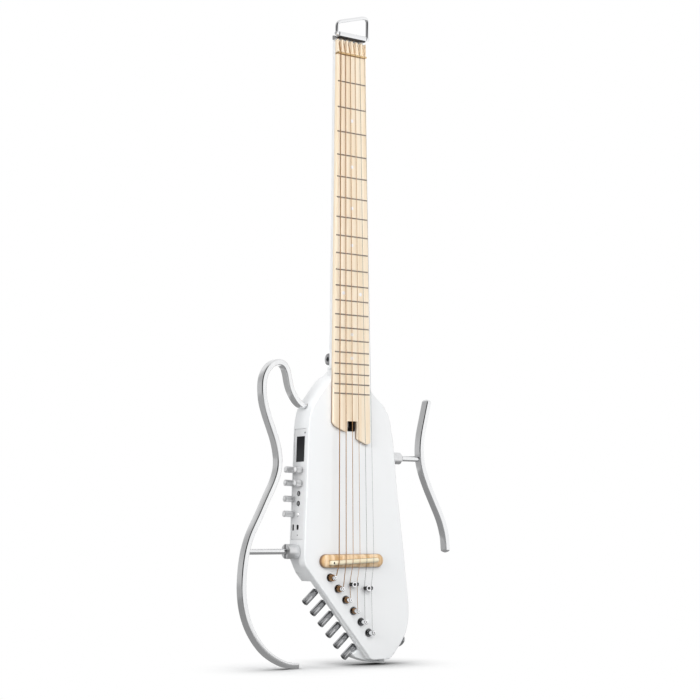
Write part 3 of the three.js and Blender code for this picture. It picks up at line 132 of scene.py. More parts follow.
# Softened corners: each corner gives way to the curve (1-t)^2 a + 2t(1-t) corner + t^2 b, whose ends a and b
# lie on the two sides at the same reach from the corner, but short of half of the shorter side. A corner
# whose reach is 0 stays one point.
def softened(points, reach, steps=5, closed=True):
    points = np.asarray(points, float)
    toBefore, toAfter = np.roll(points, 1, 0) - points, np.roll(points, -1, 0) - points
    room = np.minimum(np.linalg.norm(toBefore, axis=1), np.linalg.norm(toAfter, axis=1))
    cut = np.minimum(reach, 0.45 * room)[:, None]
    start, end = points + unit(toBefore) * cut, points + unit(toAfter) * cut
    t = np.linspace(0, 1, steps + 1)[None, :, None]
    curves = (1 - t) ** 2 * start[:, None] + 2 * t * (1 - t) * points[:, None] + t ** 2 * end[:, None]
    if not closed:
        curves[0], curves[-1] = points[0], points[-1]
    line = curves.reshape(-1, points.shape[1])
    return line[np.linalg.norm(line - np.roll(line, 1, 0), axis=1) > 1e-6]


# The slope at b of the curve through a, b and c, which weighs the two gaps by their lengths.
def slopeAt(a, b, c, before, after):
    return (b - a) / before - (c - a) / (before + after) + (c - b) / after


# A smooth line through points: between each two, the cubic that has the slopes above at both, with the
# lengths of the gaps raised to the given power (0 is even, one half is the rounder one).
def splineThrough(points, steps, power=0.5):
    points = np.asarray(points, float)
    ends = [2 * points[0] - points[1], *points, 2 * points[-1] - points[-2]]
    p0, p1, p2, p3 = (np.array(ends[first:len(ends) - 3 + first]) for first in range(4))
    d0, d1, d2 = (np.linalg.norm(b - a, axis=1)[:, None] ** power for a, b in ((p0, p1), (p1, p2), (p2, p3)))
    slope1, slope2 = slopeAt(p0, p1, p2, d0, d1) * d1, slopeAt(p1, p2, p3, d1, d2) * d1
    t = (np.arange(steps) / steps)[None, :, None]
    square, cube = t ** 2, t ** 3
    curve = ((2 * cube - 3 * square + 1) * p1[:, None] + (cube - 2 * square + t) * slope1[:, None]
             + (3 * square - 2 * cube) * p2[:, None] + (cube - square) * slope2[:, None])
    return np.vstack([curve.reshape(-1, points.shape[1]), points[-1:]])


# Solids as arrays. Rings of points have quads between neighbouring rings, whose corners close round, and a
# flat face over each end ring unless the rings themselves close round.
def solidFromRings(rings, loop=False):
    count, corners = rings.shape[:2]
    row, column = np.arange(count if loop else count - 1)[:, None], np.arange(corners)[None, :]
    here, below, beside = row * corners, (row + 1) % count * corners, (column + 1) % corners
    quads = [here + column, here + beside, below + beside, below + column]
    faces = np.stack(quads, -1).reshape(-1, 4).tolist()
    if not loop:
        faces += [list(range(corners))[::-1], list(range((count - 1) * corners, count * corners))]
    return rings.reshape(-1, 3), faces


# A section carried along a path: its first coordinate lies square to the path and to the back direction,
# its second square to both of those.
def swept(path, section, scale=1.0):
    path, section = np.asarray(path, float), np.asarray(section, float)
    before = np.vstack([2 * path[:1] - path[1:2], path[:-1]])
    along = unit(np.vstack([path[1:], 2 * path[-1:] - path[-2:-1]]) - before)
    side = unit(np.cross(along, back))
    lift = np.cross(side, along)
    section = section[None] * (np.ones(len(path)) * scale)[:, None, None]
    return solidFromRings(path[:, None] + section[..., :1] * side[:, None] + section[..., 1:] * lift[:, None])


# A turned shape: a profile of (radius, height) pairs, carried once round an axis. A looped profile closes on
# itself, round a bore. Ripples add a cosine of the given count and depth to the radii in the mask.
def turned(profile, start, direction, sides=48, loop=False, ripples=None):
    profile = np.asarray(profile, float)
    axis = unit(direction)
    side = unit(np.cross(axis, up if abs(axis[2]) < 0.9 else treble))
    angle = np.arange(sides) * fullTurn / sides
    ring = np.cos(angle)[:, None] * side + np.sin(angle)[:, None] * np.cross(axis, side)
    radii = np.repeat(profile[:, :1], sides, 1)
    if ripples:
        count, depth, mask = ripples
        radii = radii + depth * np.asarray(mask, float)[:, None] * (np.cos(count * angle)[None] - 1) / 2
    rings = np.asarray(start, float) + profile[:, 1, None, None] * axis + radii[..., None] * ring[None]
    return solidFromRings(rings, loop)


def rod(start, end, radius, sides=48, edge=0.0):
    length = float(np.linalg.norm(np.subtract(end, start)))
    profile = [(radius, 0), (radius, length)]
    if edge:
        profile = [(radius - edge, 0), (radius, edge), (radius, length - edge), (radius - edge, length)]
    return turned(profile, start, np.subtract(end, start), sides)


# A plate: its outline in x and z, moved inwards by each inset of the edge profile and set at its y. The
# shift at a corner is the sum of its sides' inward normals over one plus their product, so that every side
# moves alike.
def plate(outline, profile):
    outline = np.asarray(outline, float)
    sides = unit(np.roll(outline, -1, 0) - outline)
    area = np.sum(outline[:, 0] * np.roll(outline[:, 1], -1) - np.roll(outline[:, 0], -1) * outline[:, 1])
    normals = np.stack([-sides[:, 1], sides[:, 0]], 1) * math.copysign(1, area)
    before = np.roll(normals, 1, 0)
    shift = (normals + before) / (1 + np.sum(normals * before, 1))[:, None]
    profile = np.asarray(profile, float)
    flat = outline[None] + profile[:, 0, None, None] * shift[None]
    depth = np.repeat(profile[:, 1:], len(outline), 1)
    return solidFromRings(np.stack([flat[..., 0], depth, flat[..., 1]], -1))


def prism(outline, low, high):
    return plate(outline, [(0, low), (0, high)])


# A plate's edge: a quarter round at the front and one at the back, each beside a narrow flat ring that keeps
# the wide faces flat in shading.
def edgeProfile(frontY, backY, radius, steps=6, rim=0.06, rearRadius=None):
    rearRadius = rearRadius or radius
    front = nearRound(0, frontY, radius, steps) * (-1, 1)
    rear = farRound(0, backY, rearRadius, steps) * (-1, 1)
    return np.vstack([[[radius + rim, frontY]], front, rear, [[rearRadius + rim, backY]]])


def block(low, high, edge=0.0):
    outline = [(low[0], low[2]), (high[0], low[2]), (high[0], high[2]), (low[0], high[2])]
    if edge:
        return plate(softened(outline, edge * 1.6), edgeProfile(low[1], high[1], edge, 3))
    return prism(outline, low[1], high[1])


# Moves a shape drawn in its own x, y, z to a place with the given directions.
def moved(shape, directions, place=(0, 0, 0)):
    points, faces = shape
    return np.asarray(place, float) + points @ np.array(directions, float), faces


def merged(*shapes):
    points, faces, first = [], [], 0
    for shapePoints, shapeFaces in shapes:
        points.append(shapePoints)
        faces += [[corner + first for corner in face] for face in shapeFaces]
        first += len(shapePoints)
    return np.vstack(points), faces


# Objects from shapes.
def makeObject(name, shape, material):
    points, faces = shape
    mesh = bpy.data.meshes.new(name)
    mesh.from_pydata((np.asarray(points) * mm + (0, 0, headZ)).tolist(), [], faces)
    mesh.materials.append(material)
    shell = bmesh.new()
    shell.from_mesh(mesh)
    bmesh.ops.remove_doubles(shell, verts=shell.verts, dist=1e-7)
    bmesh.ops.recalc_face_normals(shell, faces=shell.faces)
    shell.to_mesh(mesh)
    shell.free()
    return addObject(name, mesh)


# Tools for carve: shapes to take away from a piece, or to join to it, and the finish they leave. A hole cut
# with the black finish gets black walls, painted shade in the hole.
def less(finish, *shapes):
    return [("DIFFERENCE", shape, finish[0]) for shape in shapes]


def plus(finish, *shapes):
    return [("UNION", shape, finish[0]) for shape in shapes]


def carve(piece, tools):
    cutters = [makeObject("cutter", shape, material) for operation, shape, material in tools]
    for cutter, tool in zip(cutters, tools):
        change = piece.modifiers.new("change", "BOOLEAN")
        change.operation, change.solver, change.object = tool[0], "EXACT", cutter
        change.material_mode = "TRANSFER"
    graph = bpy.context.evaluated_depsgraph_get()
    mesh = bpy.data.meshes.new_from_object(piece.evaluated_get(graph))
    piece.modifiers.clear()
    piece.data = mesh
    for cutter in cutters:
        bpy.data.objects.remove(cutter)


def dress(piece, body, replaced=(), crease=32):
    piece.data.shade_smooth()
    piece.data.set_sharp_from_angle(angle=math.radians(crease))
    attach(piece, body)
    if replaced:
        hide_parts(*replaced)


# A piece that stands for a node of the frame takes its name with a word added.
def addPiece(name, shape, finish, body="instrument", tools=(), crease=32):
    material, slot = finish
    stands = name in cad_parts
    piece = makeObject(f"{name}_finished" if stands else name, shape, material)
    if tools:
        carve(piece, tools)
    dress(piece, body, [name] if stands else [], crease)


# Finishes.
class Wire:
    # A node's output socket. Sums and products with numbers or other wires add Math nodes.
    def __init__(self, finish, socket):
        self.finish, self.socket = finish, socket

    def combine(self, operation, *items):
        return self.finish.node("ShaderNodeMath", {"operation": operation}, dict(enumerate(items)))

    def __add__(self, other):
        return self.combine("ADD", self, other)

    __radd__ = __add__

    def __sub__(self, other):
        return self.combine("SUBTRACT", self, other)

    def __rsub__(self, other):
        return self.combine("SUBTRACT", other, self)

    def __mul__(self, other):
        return self.combine("MULTIPLY", self, other)

    __rmul__ = __mul__

    def __pow__(self, other):
        return self.combine("POWER", self, other)

    def orMore(self, other):
        return self.combine("MAXIMUM", self, other)

    def orLess(self, other):
        return self.combine("MINIMUM", self, other)


class Finish:
    # A material, or the world, as it is built: one method makes every node.
    def __init__(self, name, slot=None, world=None):
        self.owner = world or bpy.data.materials.new(name)
        self.owner.use_nodes = True
        self.slot = slot
        self.tree = self.owner.node_tree
        self.tree.nodes.clear()

    def node(self, kind, settings=None, inputs=None, output=0):
        made = self.tree.nodes.new(kind)
        for name, value in (settings or {}).items():
            if name == "stops":
                ramp = made.color_ramp
                while len(ramp.elements) < len(value):
                    ramp.elements.new(1)
                for element, (position, colour) in zip(ramp.elements, value):
                    element.position, element.color = position, (*colour, 1)
            else:
                setattr(made, name, value)
        for name, value in (inputs or {}).items():
            if isinstance(value, Wire):
                self.tree.links.new(value.socket, made.inputs[name])
            else:
                made.inputs[name].default_value = value
        return Wire(self, made.outputs[output]) if made.outputs else made

    def place(self, source="Object"):
        return self.node("ShaderNodeTexCoord", output=source)

    # One coordinate of a place: 0 for x, 1 for y, 2 for z.
    def axis(self, place, number):
        return self.node("ShaderNodeSeparateXYZ", None, {0: place}, number)

    # Noise on the piece's own coordinates, in cycles per metre along x, y and z.
    def noise(self, cycles, detail=3, distortion=0.0):
        scaled = self.node("ShaderNodeMapping", None, {"Vector": self.place(), "Scale": cycles})
        return self.node("ShaderNodeTexNoise", None,
                         {"Vector": scaled, "Scale": 1, "Detail": detail, "Distortion": distortion})

    def blend(self, share, first, second):
        colours = [c if isinstance(c, Wire) else (*c, 1) for c in (first, second)]
        return self.node("ShaderNodeMix", {"data_type": "RGBA"}, {0: share, 6: colours[0], 7: colours[1]}, 2)

    def mix(self, share, first, second):
        return self.node("ShaderNodeMixShader", None, {0: share, 1: first, 2: second})

    def light(self, kind, strength, tint=(1, 1, 1)):
        return self.node(f"ShaderNode{kind}", None, {"Color": (*tint, 1), "Strength": strength})

    def compare(self, operation, first, second):
        return self.node("ShaderNodeVectorMath", {"operation": operation}, {0: first, 1: second}, "Value")

    # A soft step from 0 to 1 between two values.
    def step(self, value, low, high):
        return self.node("ShaderNodeMapRange", {"interpolation_type": "SMOOTHSTEP"},
                         {"Value": value, "From Min": low, "From Max": high})

    def bump(self, height, depth, strength=1.0):
        return self.node("ShaderNodeBump", None, {"Height": height, "Distance": depth, "Strength": strength})

    def done(self, **sockets):
        shader = self.node("ShaderNodeBsdfPrincipled", None,
                           {name.replace("_", " "): value for name, value in sockets.items()})
        self.node("ShaderNodeOutputMaterial", None, {"Surface": shader})
        return self.owner, self.slot


def whiteFinish(name, slot, settings):
    paint = Finish(name, slot)
    broad, fine = paint.noise((9, 9, 9), 2), paint.noise((700, 700, 700), 2)
    scuff = paint.noise((160, 160, 60), 5, 1.2)
    colour = paint.blend(broad, settings["cool"], settings["warm"])
    rough = settings["roughness"] + 0.05 * paint.step(scuff, 0.58, 0.75)
    return paint.done(Base_Color=colour, Roughness=rough, Coat_Weight=0.6, Coat_Roughness=0.05,
                      Normal=paint.bump(fine, settings["peel"], 0.25))


# Wood with grain along z: streaks from noise drawn out along the grain, pores from a finer one, and a slow
# figure across both. A painted shade darkens the walls from one depth to the next, and only below a height.
def woodFinish(name, slot, settings):
    wood = Finish(name, slot)
    streak = wood.noise((settings["streaks"], settings["streaks"], 3.5), 6, 0.25)
    figure = wood.noise((26, 26, 9), 3, 1.5)
    shade = wood.step(streak * 0.75 + figure * 0.25, 0.36, 0.64)
    pore = wood.step(wood.noise((1500, 1500, 45), 2), 0.64, 0.76)
    flecked = wood.blend(pore * settings["poreShare"], wood.blend(shade, settings["light"], settings["dark"]),
                         settings["pore"])
    depth, height = (wood.axis(wood.place(), number) for number in (1, 2))
    # painted shade: the walls between the two depths and below the height blend towards a dark shade colour
    paintedShadeMask = wood.step(depth, *(limit * mm for limit in settings["paintedShadeDepth"]))
    below = 1 - wood.step(height, *(headZ + limit * mm for limit in settings["paintedShadeBelow"]))
    colour = wood.blend(paintedShadeMask * below * settings["paintedShadeShare"], flecked, settings["paintedShade"])
    return wood.done(Base_Color=colour, Roughness=settings["roughness"] + 0.1 * shade, Coat_Weight=0.25,
                     Coat_Roughness=0.25, Normal=wood.bump(streak - pore * 0.6, settings["relief"], 0.5))


# Polished metal: a clear base with faint wipe marks in its roughness.
def polishedFinish(name, slot, settings):
    metal = Finish(name, slot)
    wipe = metal.noise((90, 90, 260), 5, 0.8)
    colour = metal.blend(metal.noise((24, 24, 24), 2), settings["light"], settings["dark"])
    rough = settings["roughness"] + settings["wipe"] * metal.step(wipe, 0.5, 0.72)
    return metal.done(Base_Color=colour, Metallic=1.0, Roughness=rough)


# Satin metal: very fine grains in the normal, and longer strokes in the roughness.
def satinFinish(name, slot, settings):
    metal = Finish(name, slot)
    grain = metal.noise((2600, 2600, 2600), 3)
    stroke = metal.noise((420, 420, 30), 5, 0.4)
    share = metal.step(stroke * 0.5 + metal.noise((16, 16, 16), 2) * 0.5, 0.35, 0.65)
    colour = metal.blend(share, settings["light"], settings["dark"])
    return metal.done(Base_Color=colour, Metallic=1.0, Roughness=settings["roughness"] + 0.1 * stroke,
                      Normal=metal.bump(grain, settings["grain"], 0.3))


# A wound string: its attribute counts the wraps, and each wrap is a half round with a painted shade line
# between two.
# The turns on the posts get a painted shade that darkens them towards the body.
def woundFinish(name, slot, settings):
    wound = Finish(name, slot)
    count = wound.node("ShaderNodeAttribute", {"attribute_name": "wraps"}, output="Fac")
    wrap = wound.node("ShaderNodeMath", {"operation": "FRACT"}, {0: count})
    lobe = wound.node("ShaderNodeMath", {"operation": "SINE"}, {0: wrap * math.pi})
    colour = wound.blend(wound.noise((40, 40, 14), 3), settings["light"], settings["dark"])
    # painted shade: the coil darkens with depth towards the body, and the gaps between wraps are painted as
    # dark shade lines
    shade = wound.step(wound.axis(wound.place(), 1), *(limit * mm for limit in settings["coilShadeDepth"]))
    darker = wound.blend(shade * settings["coilShadeShare"], colour, settings["line"])
    lined = wound.blend(wound.step(lobe, 0.0, 0.45), settings["line"], darker)
    return wound.done(Base_Color=lined, Metallic=1.0, Roughness=0.42 - 0.14 * lobe,
                      Normal=wound.bump(lobe ** 0.5, settings["relief"]))


# Plain mouldings: a fine spark texture, a little variation in tone and a worn sheen.
def mouldedFinish(name, slot, settings):
    plastic = Finish(name, slot)
    cloud = plastic.noise((30, 30, 30), 3)
    colour = plastic.blend(plastic.step(cloud, 0.3, 0.7), settings["light"], settings["dark"])
    return plastic.done(Base_Color=colour, Roughness=settings["roughness"] + 0.08 * cloud,
                        Coat_Weight=settings.get("coat", 0.0), Coat_Roughness=0.08,
                        Normal=plastic.bump(plastic.noise((1900, 1900, 1900), 3), settings["spark"], 0.35))


# Pearl: bands of cool and warm white that drift across the dot.
def pearlFinish(name, slot):
    pearl = Finish(name, slot)
    drift = pearl.noise((260, 260, 420), 4, 2.5)
    colour = pearl.node("ShaderNodeValToRGB", {"stops": [
        (0.3, (0.86, 0.9, 0.95)), (0.5, (0.97, 0.96, 0.95)), (0.7, (0.9, 0.86, 0.93))]}, {0: drift})
    return pearl.done(Base_Color=colour, Roughness=0.18, Coat_Weight=0.7, Normal=pearl.bump(drift, 2e-5))


# The display: a black glossy window with a painted sheen in its colour, lighter at its foot and fading
# upwards.
def windowFinish(name, slot, settings):
    window = Finish(name, slot)
    # painted sheen: the base colour lightens from the window's top to its foot
    paintedSheen = window.step(window.axis(window.place(), 2), settings["top"], settings["foot"])
    smear = window.noise((120, 120, 60), 4, 0.6)
    return window.done(Base_Color=window.blend(paintedSheen, settings["dark"], settings["light"]),
                       Roughness=0.08 + 0.08 * window.step(smear, 0.5, 0.75), Specular_IOR_Level=0.14)


white = whiteFinish("white lacquer", "white_lacquer", {
    "cool": (0.865, 0.882, 0.895), "warm": (0.88, 0.885, 0.885), "roughness": 0.3, "peel": 6e-6})
whiteCover = whiteFinish("white cover", "white_plastic", {
    "cool": (0.85, 0.86, 0.87), "warm": (0.86, 0.865, 0.865), "roughness": 0.38, "peel": 1.2e-5})
# pale maple: the board's sides near the body, towards its back, get a painted shade
paleMaple = woodFinish("pale maple", "pale_maple", {
    "light": (0.97, 0.86, 0.7), "dark": (0.9, 0.74, 0.54), "pore": (0.68, 0.51, 0.34), "poreShare": 0.35,
    "streaks": 260, "roughness": 0.42, "relief": 4e-5, "paintedShadeDepth": (3.2, 5.4), "paintedShadeBelow": (-440, -400),
    "paintedShadeShare": 0.85, "paintedShade": (0.2, 0.1, 0.05)})
# amber maple: the bridge's walls towards the body get a painted shade
amberMaple = woodFinish("amber maple", "amber_maple", {
    "light": (0.9, 0.69, 0.46), "dark": (0.62, 0.38, 0.17), "pore": (0.34, 0.17, 0.06), "poreShare": 0.8,
    "streaks": 150, "roughness": 0.34, "relief": 5e-5, "paintedShadeDepth": (0.4, 3.6), "paintedShadeBelow": (0, 1),
    "paintedShadeShare": 0.92, "paintedShade": (0.16, 0.07, 0.025)})
bone = mouldedFinish("bone", "bone", {
    "light": (0.93, 0.86, 0.68), "dark": (0.86, 0.76, 0.54), "roughness": 0.28, "spark": 8e-6, "coat": 0.3})
brass = satinFinish("brass", "brass", {
    "light": (0.86, 0.65, 0.38), "dark": (0.72, 0.5, 0.25), "roughness": 0.3, "grain": 3e-6})
# wound bronze: its line colour is the painted shade between wraps and on the coils
bronzeWound = woundFinish("wound bronze", "bronze", {
    "light": (0.82, 0.49, 0.25), "dark": (0.64, 0.36, 0.17), "line": (0.16, 0.07, 0.03), "relief": 9e-5,
    "coilShadeDepth": (-0.5, 4.5), "coilShadeShare": 0.4})
steel = satinFinish("plain steel", "steel", {
    "light": (0.18, 0.18, 0.19), "dark": (0.13, 0.132, 0.14), "roughness": 0.22, "grain": 2e-6})
chrome = polishedFinish("polished chrome", "chrome", {
    "light": (0.93, 0.935, 0.94), "dark": (0.86, 0.865, 0.88), "roughness": 0.07, "wipe": 0.06})
# A darker copy of chrome: painted shade and dark reflection in its colour, for the tuner buttons, the ear and
# the strap buttons.
shadedGreyChrome = polishedFinish("grey chrome", "chrome", {
    "light": (0.6, 0.6, 0.61), "dark": (0.48, 0.485, 0.495), "roughness": 0.06, "wipe": 0.04})
# A much darker copy of chrome: painted shade and dark reflection in its colour, for the tuner housings and
# washers.
shadeDarkChrome = polishedFinish("shade darkened chrome", "chrome", {
    "light": (0.2, 0.2, 0.205), "dark": (0.13, 0.13, 0.135), "roughness": 0.12, "wipe": 0.06})
darkChrome = polishedFinish("dark chrome", "chrome", {
    "light": (0.07, 0.07, 0.072), "dark": (0.04, 0.04, 0.042), "roughness": 0.14, "wipe": 0.06})
# Frets: nickel whose colour is darkened as painted shade, so the fret lines read dark.
shadedFretNickel = polishedFinish("shade darkened nickel", "steel", {
    "light": (0.4, 0.365, 0.33), "dark": (0.29, 0.26, 0.235), "roughness": 0.16, "wipe": 0.1})
satinSilver = satinFinish("satin silver", "satin_silver", {
    "light": (0.93, 0.935, 0.94), "dark": (0.86, 0.865, 0.875), "roughness": 0.11, "grain": 1e-6})
collarSilver = satinFinish("blasted silver", "satin_silver", {
    "light": (0.9, 0.905, 0.91), "dark": (0.82, 0.825, 0.835), "roughness": 0.34, "grain": 2e-6})
knobSilver = satinFinish("silver knob", "panel_grey", {
    "light": (0.88, 0.88, 0.885), "dark": (0.78, 0.785, 0.79), "roughness": 0.26, "grain": 2e-6})
panelGrey = mouldedFinish("pale grey panel", "panel_grey", {
    "light": (0.82, 0.825, 0.83), "dark": (0.77, 0.775, 0.785), "roughness": 0.42, "spark": 1e-5})
capWhite = mouldedFinish("white cap", "panel_grey", {
    "light": (0.9, 0.9, 0.9), "dark": (0.84, 0.845, 0.85), "roughness": 0.35, "spark": 6e-6})
black = mouldedFinish("black", "black", {
    "light": (0.028, 0.028, 0.03), "dark": (0.012, 0.012, 0.013), "roughness": 0.4, "spark": 1e-5})
pearl = pearlFinish("pearl", "pale_maple")
circuitGreen = mouldedFinish("green lacquer", "circuit_green", {
    "light": (0.06, 0.26, 0.13), "dark": (0.03, 0.16, 0.08), "roughness": 0.3, "spark": 2e-5, "coat": 0.5})
cellBlue = mouldedFinish("blue wrap", "cell_blue", {
    "light": (0.1, 0.24, 0.42), "dark": (0.06, 0.16, 0.32), "roughness": 0.35, "spark": 1.5e-5})
print("finishes made")

# Planes, in millimetres from the fret tops to the back.
planes = {"fretHeight": 1.0, "boardThickness": 5.7, "gap": 0.3, "bodyDepth": 34.5, "slabDepth": 14,
          "neckDepth": 14.7}
gap = planes["gap"]
boardFrontY = planes["fretHeight"]
boardBackY = boardFrontY + planes["boardThickness"]
soundboardY = boardBackY + gap
bodyBackY = soundboardY + planes["bodyDepth"]
slabBackY = soundboardY + planes["slabDepth"]
tongueBackY = soundboardY + planes["neckDepth"]
midY = soundboardY + planes["bodyDepth"] / 2

# Fretboard and neck. The board's end is cut in steps, each given by its x and its drop below the end.
board = {"scale": 648, "frets": 20, "nutWidth": 45, "lastFretWidth": 57.6, "end": 481.99, "edge": 0.35,
         "leftCut": 4, "leftTip": (-10.5, 10.5), "notch": (-7.4, 8.8), "notchTop": -3, "rightStep": 19.4,
         "rightTip": (23.5, 26.2), "rightSide": 24.4,
         "corners": [0.3, 2.8, 2.8, 1.2, 1.0, 1.6, 1.6, 1.2, 1.6, 2.2, 0.3]}
fretWire = {"width": 1.7, "height": 1.0, "root": 0.4, "inset": 0.8, "lean": 0.9, "leanPower": 1.5,
            "endRing": 0.001, "steps": 12}
dots = {"single": [3, 5, 7, 9, 15, 17], "double": 12, "radius": 2.3, "spread": 13.5, "depth": 0.5,
        "proud": 0.02, "edge": 0.1}
neck = {"headLength": 22.4, "shaftEnd": 412, "tongueWidth": 48, "tongueEnd": 474, "channelRadius": 2.9,
        "rodY": 6.5, "rodStart": 12}


def fretDrop(fret):
    return board["scale"] * (1 - 2 ** (-fret / 12))


def boardHalf(drop):
    growth = (board["lastFretWidth"] - board["nutWidth"]) / fretDrop(board["frets"])
    return (board["nutWidth"] + growth * np.asarray(drop, float)) / 2


# The curve of the neck's back: (half cos a, depth sin a ^ 2/3).
def neckCurve(half, depth, steps):
    angle = np.linspace(0, math.pi, steps + 1)
    return np.stack([half * np.cos(angle), depth * np.sin(angle) ** (2 / 3)], 1)


# The neck's section is a flat front and that curve, and its half width follows the board's from the nut down.
def neckShape():
    front = np.stack([np.linspace(-1, 1, 9)[1:-1], np.zeros(7)], 1)
    section = np.vstack([neckCurve(1, planes["neckDepth"], 48), front])
    drops = np.linspace(-neck["headLength"], neck["shaftEnd"], 60)
    half = boardHalf(np.maximum(drops, 0))[:, None]
    return solidFromRings(np.stack([half * section[None, :, 0], soundboardY + 0 * half + section[None, :, 1],
                                    np.repeat(-drops[:, None], len(section), 1)], -1))


def addNeck():
    half = neck["tongueWidth"] / 2
    tongue = block((-half, soundboardY, -neck["tongueEnd"]), (half, tongueBackY, past - neck["shaftEnd"]))
    rodY = soundboardY + neck["rodY"]
    channel = rod((0, rodY, -neck["rodStart"]), (0, rodY, -neck["tongueEnd"] - far), neck["channelRadius"])
    # the rod's channel gets black walls, painted shade inside it
    addPiece("neck", neckShape(), white, tools=plus(white, tongue) + less(black, channel))


def boardOutline():
    half, start = float(boardHalf(board["end"])), board["nutWidth"] / 2
    (left, right), (tipX, tip) = board["notch"], board["leftTip"]
    steps = [(-half, 0), (board["leftCut"] - half, board["leftCut"]), (tipX, tip), (left, tip),
             (left, board["notchTop"]), (right, board["notchTop"]), (right, board["rightStep"]),
             board["rightTip"], (half, board["rightSide"])]
    points = [(-start, -gap), *((x, -board["end"] - drop) for x, drop in steps), (start, -gap)]
    return softened(points, board["corners"])


# A fret: across the board its section is the half ellipse of its width and height over a short root, and at
# both ends the crown leans inwards, by a power of its rise.
def fretShape(drop):
    half = float(boardHalf(drop)) - fretWire["inset"]
    angle = np.linspace(0, math.pi, fretWire["steps"] + 1)
    width = fretWire["width"] / 2
    crown = np.stack([boardFrontY - fretWire["height"] * np.sin(angle), width * np.cos(angle)], 1)
    root = boardFrontY + fretWire["root"]
    section = np.vstack([[(root, width)], crown, [(root, -width)]])
    rise = (boardFrontY - section[:, 0]).clip(0) / fretWire["height"]
    ring = fretWire["endRing"]
    ends = np.array([-half, -half + ring, half - ring, half])
    lean = np.array([1, 1, -1, -1])[:, None] * fretWire["lean"] * rise[None] ** fretWire["leanPower"]
    return solidFromRings(np.stack([ends[:, None] + lean, np.repeat(section[None, :, 0], 4, 0),
                                    -drop + np.repeat(section[None, :, 1], 4, 0)], -1))


def addFretboard():
    blank = plate(boardOutline(), edgeProfile(boardFrontY, boardBackY, board["edge"], 4))
    addPiece("fretboard", blank, paleMaple)
    for fret in range(1, board["frets"] + 1):
        addPiece(f"fret_{fret}", fretShape(fretDrop(fret)), shadedFretNickel, crease=40)
    radius, front = dots["radius"], boardFrontY - dots["proud"]
    centres = [(0, fret) for fret in dots["single"]]
    centres += [(side * dots["spread"], dots["double"]) for side in (-1, 1)]
    discs = [turned([(radius - dots["edge"], 0), (radius, dots["proud"]), (radius, dots["depth"])],
                    (x, front, -(fretDrop(fret) + fretDrop(fret - 1)) / 2), back) for x, fret in centres]
    addPiece("inlay_dots", merged(*discs), pearl)


addNeck()
addFretboard()
print("neck and fretboard made")

# Body. The outline is given as shares of its width from the centre line and of its length from the tip.
body = {"tip": 406, "length": 376, "width": 165, "edge": 1.5, "backEdge": 1.2, "corner": 5, "recessTop": 680,
        "recessStart": 28, "recessEnd": 144, "recessInset": 34, "recessCorner": 2.5, "chamferRun": 16,
        "chamferRise": 30, "trussPocketEnd": 491.6, "trussPocketDepth": 11,
        "trussPocketCorners": [1.8, 1.8, 0.1, 0.1]}
leftShares = [(-0.073, 0), (-0.176, 0.053), (-0.286, 0.113), (-0.345, 0.150), (-0.372, 0.188)]
wallShares = [(-0.381, 0.215), (-0.4206, 0.640)]
diagonalShares = [(-0.414, 0.677), (0.207, 0.997)]
endShares = [(0.232, 1), (0.385, 1)]
rightShares = [(0.417, 0.990), (0.474, 0.961), (0.500, 0.949), (0.548, 0.914), (0.570, 0.881), (0.579, 0.852),
               (0.577, 0.809), (0.559, 0.739), (0.521, 0.596), (0.474, 0.441), (0.434, 0.268), (0.417, 0.226),
               (0.392, 0.173), (0.338, 0.134)]
shoulderShares = [(0.225, 0.093), (0.16, 0.045), (0.073, 0)]
# The foot of the back shell, as x and drop below the nut.
foot = {"points": [(14.9, 773.9), (19.2, 778.5), (26.2, 780.5), (34.7, 783.2), (45.5, 785.6), (65.2, 788.3),
                   (67.8, 786.9), (66.4, 784), (60, 772), (30, 765)],
        "corner": 2, "edge": 1.2, "front": 0.2, "back": 0.4}
cavity = {"top": 497, "bottom": 624.04, "rightX": 42, "frontWall": 5.5, "sideWall": 5.5, "corner": 4,
          "ledge": 6, "cover": 2.2, "coverCorner": 3, "coverEdge": 0.4}
panel = {"top": 489.64, "bottom": 628.64, "frontMargin": 6, "backMargin": 3.5, "thickness": 3, "ledge": 7,
         "sideLedge": 1, "corner": 1.2, "edge": 0.3}
heel = {"halfWidth": 11, "back": 37.3, "top": 386, "corner": 394, "root": 432, "topDepth": 8, "slope": 22,
        "edge": 1.6, "round": 2.5}
strap = {"heelDrop": 398.2, "heelY": 5.8, "bodyDrop": 757.48, "bodyY": 13, "seat": 1.2, "seatRadius": 5.1}
tunerRow = {"first": 36.9, "pitch": 18.5, "inset": 18.3, "sleeveHole": 4.9}


def onBody(shares):
    return np.asarray(shares, float) * (body["width"], -body["length"]) - (0, body["tip"])


def bodyOutline():
    left, right = (splineThrough(onBody(shares), 6, 0) for shares in (leftShares, rightShares))
    corners = onBody(wallShares + diagonalShares + endShares)
    reach = np.concatenate([0 * left[:, 0], [body["corner"]] * len(corners), 0 * right[:, 0],
                            [body["corner"]] * len(shoulderShares)])
    reach[0] = body["corner"]
    return softened(np.vstack([left, corners, right, onBody(shoulderShares)]), reach, 6)


outline = bodyOutline()
wallTop, wallEnd = onBody(wallShares)
cornerPoint, diagonalEnd = onBody(diagonalShares)
wallAngle = math.atan2(wallTop[0] - wallEnd[0], wallTop[1] - wallEnd[1])
wallOut = np.array([-math.cos(wallAngle), 0, math.sin(wallAngle)])
wallUp = np.array([math.sin(wallAngle), 0, math.cos(wallAngle)])
diagonal = unit([diagonalEnd[0] - cornerPoint[0], 0, diagonalEnd[1] - cornerPoint[1]])
inward = np.array([-diagonal[2], 0, diagonal[0]])
panelFrontY = soundboardY + panel["frontMargin"]
panelBackY = bodyBackY - panel["backMargin"]


